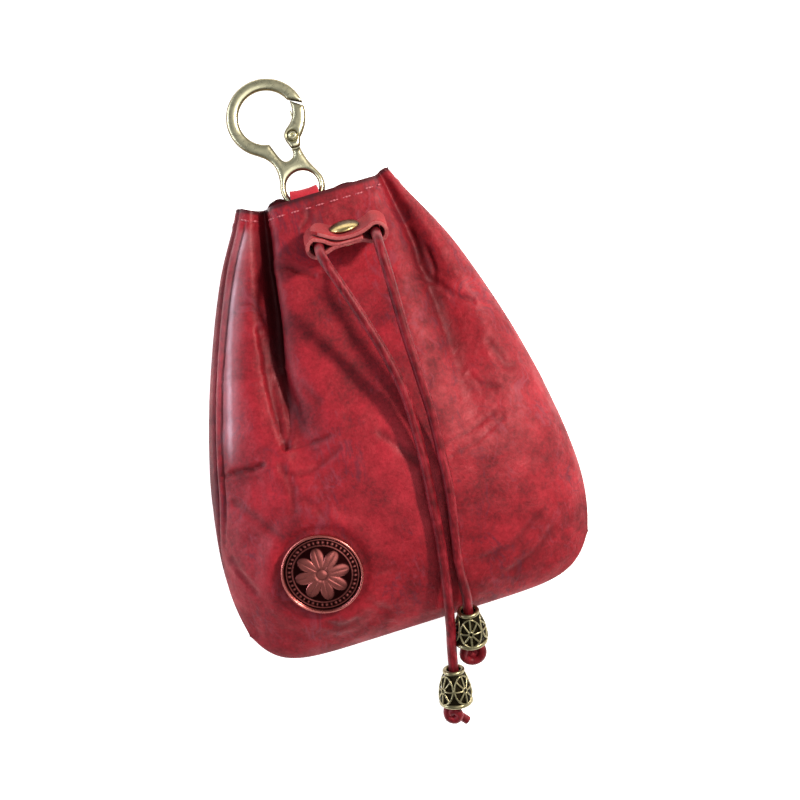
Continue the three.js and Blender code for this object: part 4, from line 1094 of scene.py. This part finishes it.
spun("gatePin", pinRing + [pinRing[0]], clipPlace @ pinSpot, "clip", paleBrass, "gate_pin", 40)
springSteps = [(2.9, 1.2), (3.0, 3), (2.8, 5), (2.9, 7.2)]
springLine = [(gate["x"] + x, gate["y"] + y, 0) for x, y in springSteps]
spring = curveOf("gateSpring", [[clipPlace @ p for p in smoothLine(springLine, 0.4)]], 0.3 * mm)
addPiece("gateSpring", spring, "gate", [paleBrass], ["gate_spring"])
print("clip made")


# Medallion: a struck disc with a raised rim, a ring of beading and a plain rosette
rosette = {"petals": 8, "beads": 44, "beadRing": 0.8, "lines": (0.725, 0.875), "boss": 0.14, "reach": 0.34}
rimRows = [(0.94, 1.75), (0.955, 1.95), (0.975, 2.0), (0.992, 1.85), (1, 1.5), (1, 0.7), (0.985, 0.35), (0, 0.3)]


# The relief's height at a share of the radius and an angle
def reliefAt(r, angle):
    turn = rosette["petals"] / 2 * angle
    petalEdge = 0.34 + rosette["reach"] * abs(math.cos(turn)) ** 0.6
    petal = max(0.0, 1 - (r / petalEdge) ** 4) * min(1, max(0, (r - 0.13) / 0.06))
    vein = math.exp(-(math.sin(turn) ** 2) / 0.02) * petal
    boss = max(0.0, 1 - (r / rosette["boss"]) ** 2)
    beads = max(0.0, math.cos(angle * rosette["beads"])) * math.exp(-((r - rosette["beadRing"]) / 0.035) ** 2)
    ringLine = sum(math.exp(-((r - at) / 0.014) ** 2) for at in rosette["lines"])
    return 0.42 * petal ** 0.5 - 0.16 * vein + 0.45 * boss ** 0.5 + 0.4 * beads + 0.28 * ringLine


def medallion(place):
    radius = medal["diameter"] / 2
    profile = [(radius * 0.93 * share, 1.5) for share in [k / 52 for k in range(53)]]
    profile += [(radius * share, z) for share, z in rimRows]
    bm = bmesh.new()
    verts = [bm.verts.new((r, 0, z)) for r, z in profile]
    edges = [bm.edges.new(pair) for pair in zip(verts, verts[1:])]
    bmesh.ops.spin(bm, geom=verts + edges, cent=(0, 0, 0), axis=(0, 0, 1), angle=2 * math.pi, steps=160,
                   use_merge=True)
    bmesh.ops.remove_doubles(bm, verts=bm.verts, dist=1e-4)
    layer = bm.verts.layers.float.new("shadeAndPatina")
    for vert in bm.verts:
        r = vert.co.xy.length / radius
        if vert.co.z < 1.4 or r > 0.935:
            continue
        relief = reliefAt(r, math.atan2(vert.co.y, vert.co.x))
        vert.co.z = 1.1 + 1.0 * (1 - r * r) - 0.32 + relief
        vert[layer] = max(0.0, 0.85 - relief * 2.6)
    addPiece("medallion", closeMesh("medallion", bm, place), "pouch", [bronze], ["medallion"])


normal = Vector((-seatSlopeX, -seatSlopeY, 1)).normalized()
medalTurn = Vector((0, 0, 1)).rotation_difference(normal).to_matrix().to_4x4()
medalPlace = toRow @ Matrix.Translation((medal["x"], medal["y"], float(seatZ))) @ medalTurn
medallion(medalPlace)
postProfile = [(0, 0.4), (1.6, 0.4), (1.6, -3.3), (0, -3.3)]
screwProfile = [(0, -3.5), (3.3, -3.5), (3.5, -3.7), (3.4, -4.4), (3.0, -4.8), (0, -4.8)]
spun("medallionPost", postProfile, medalPlace, "pouch", bronze, "medallion", 32)
spun("medallionScrew", screwProfile, medalPlace, "pouch", beadBrass, "medallion_screw", 36)
print("medallion made")


# Stage: pale paper floor, and soft studio light placed by (right, up, high) in metres as the picture shows them
studio = {"world": 0.24, "floorGlow": 0.9, "aim": (0, -0.02, 0.02)}
floorData = bmesh.new()
bmesh.ops.create_grid(floorData, x_segments=1, y_segments=1, size=3)
floorMesh = bpy.data.meshes.new("floor")
floorData.to_mesh(floorMesh)
floorData.free()
floor = bpy.data.objects.new("floor", floorMesh)
floor.location.z = -0.0002
scene.collection.objects.link(floor)
paper, paperTree, _ = startMaterial("whitePaper")
closeMaterial(paperTree, addNode(paperTree, "BsdfPrincipled", {
    "Base Color": tint("#f7f7f7"), "Roughness": 0.9,
    "Emission Color": tint("#ffffff"), "Emission Strength": studio["floorGlow"]}))
floorMesh.materials.append(paper)

world = bpy.data.worlds.new("studio")
world.use_nodes = True
world.node_tree.nodes["Background"].inputs[0].default_value = tint("#ffffff")
world.node_tree.nodes["Background"].inputs[1].default_value = studio["world"]
scene.world = world

turned = math.radians(camera["turn"])
pictureRight = Vector((math.cos(turned), -math.sin(turned), 0))
pictureUp = Vector((math.sin(turned), math.cos(turned), 0))
aimAt = Vector(studio["aim"])


def addLight(name, right, up, high, size, power, colour, long=None):
    data = bpy.data.lights.new(name, "AREA")
    data.energy = power
    data.color = tint(colour)[:3]
    data.shape = "RECTANGLE" if long else "SQUARE"
    data.size = size
    if long:
        data.size_y = long
    light = bpy.data.objects.new(name, data)
    light.location = aimAt + pictureRight * right + pictureUp * up + Vector((0, 0, high))
    light.rotation_mode = "QUATERNION"
    back = (light.location - aimAt).normalized()
    across = pictureUp.cross(back).normalized()
    light.rotation_quaternion = Matrix((across, back.cross(across), back)).transposed().to_quaternion()
    scene.collection.objects.link(light)


addLight("keyPanel", 0.6, 0.42, 0.66, 0.1, 12.5, "#fff4ea")
addLight("coolStrip", -0.75, 0.05, 0.24, 0.03, 4.6, "#e4ecff", 0.9)
addLight("topPanel", 0.4, -0.1, 1.0, 1.1, 4.8, "#ffffff")

print("stage set")
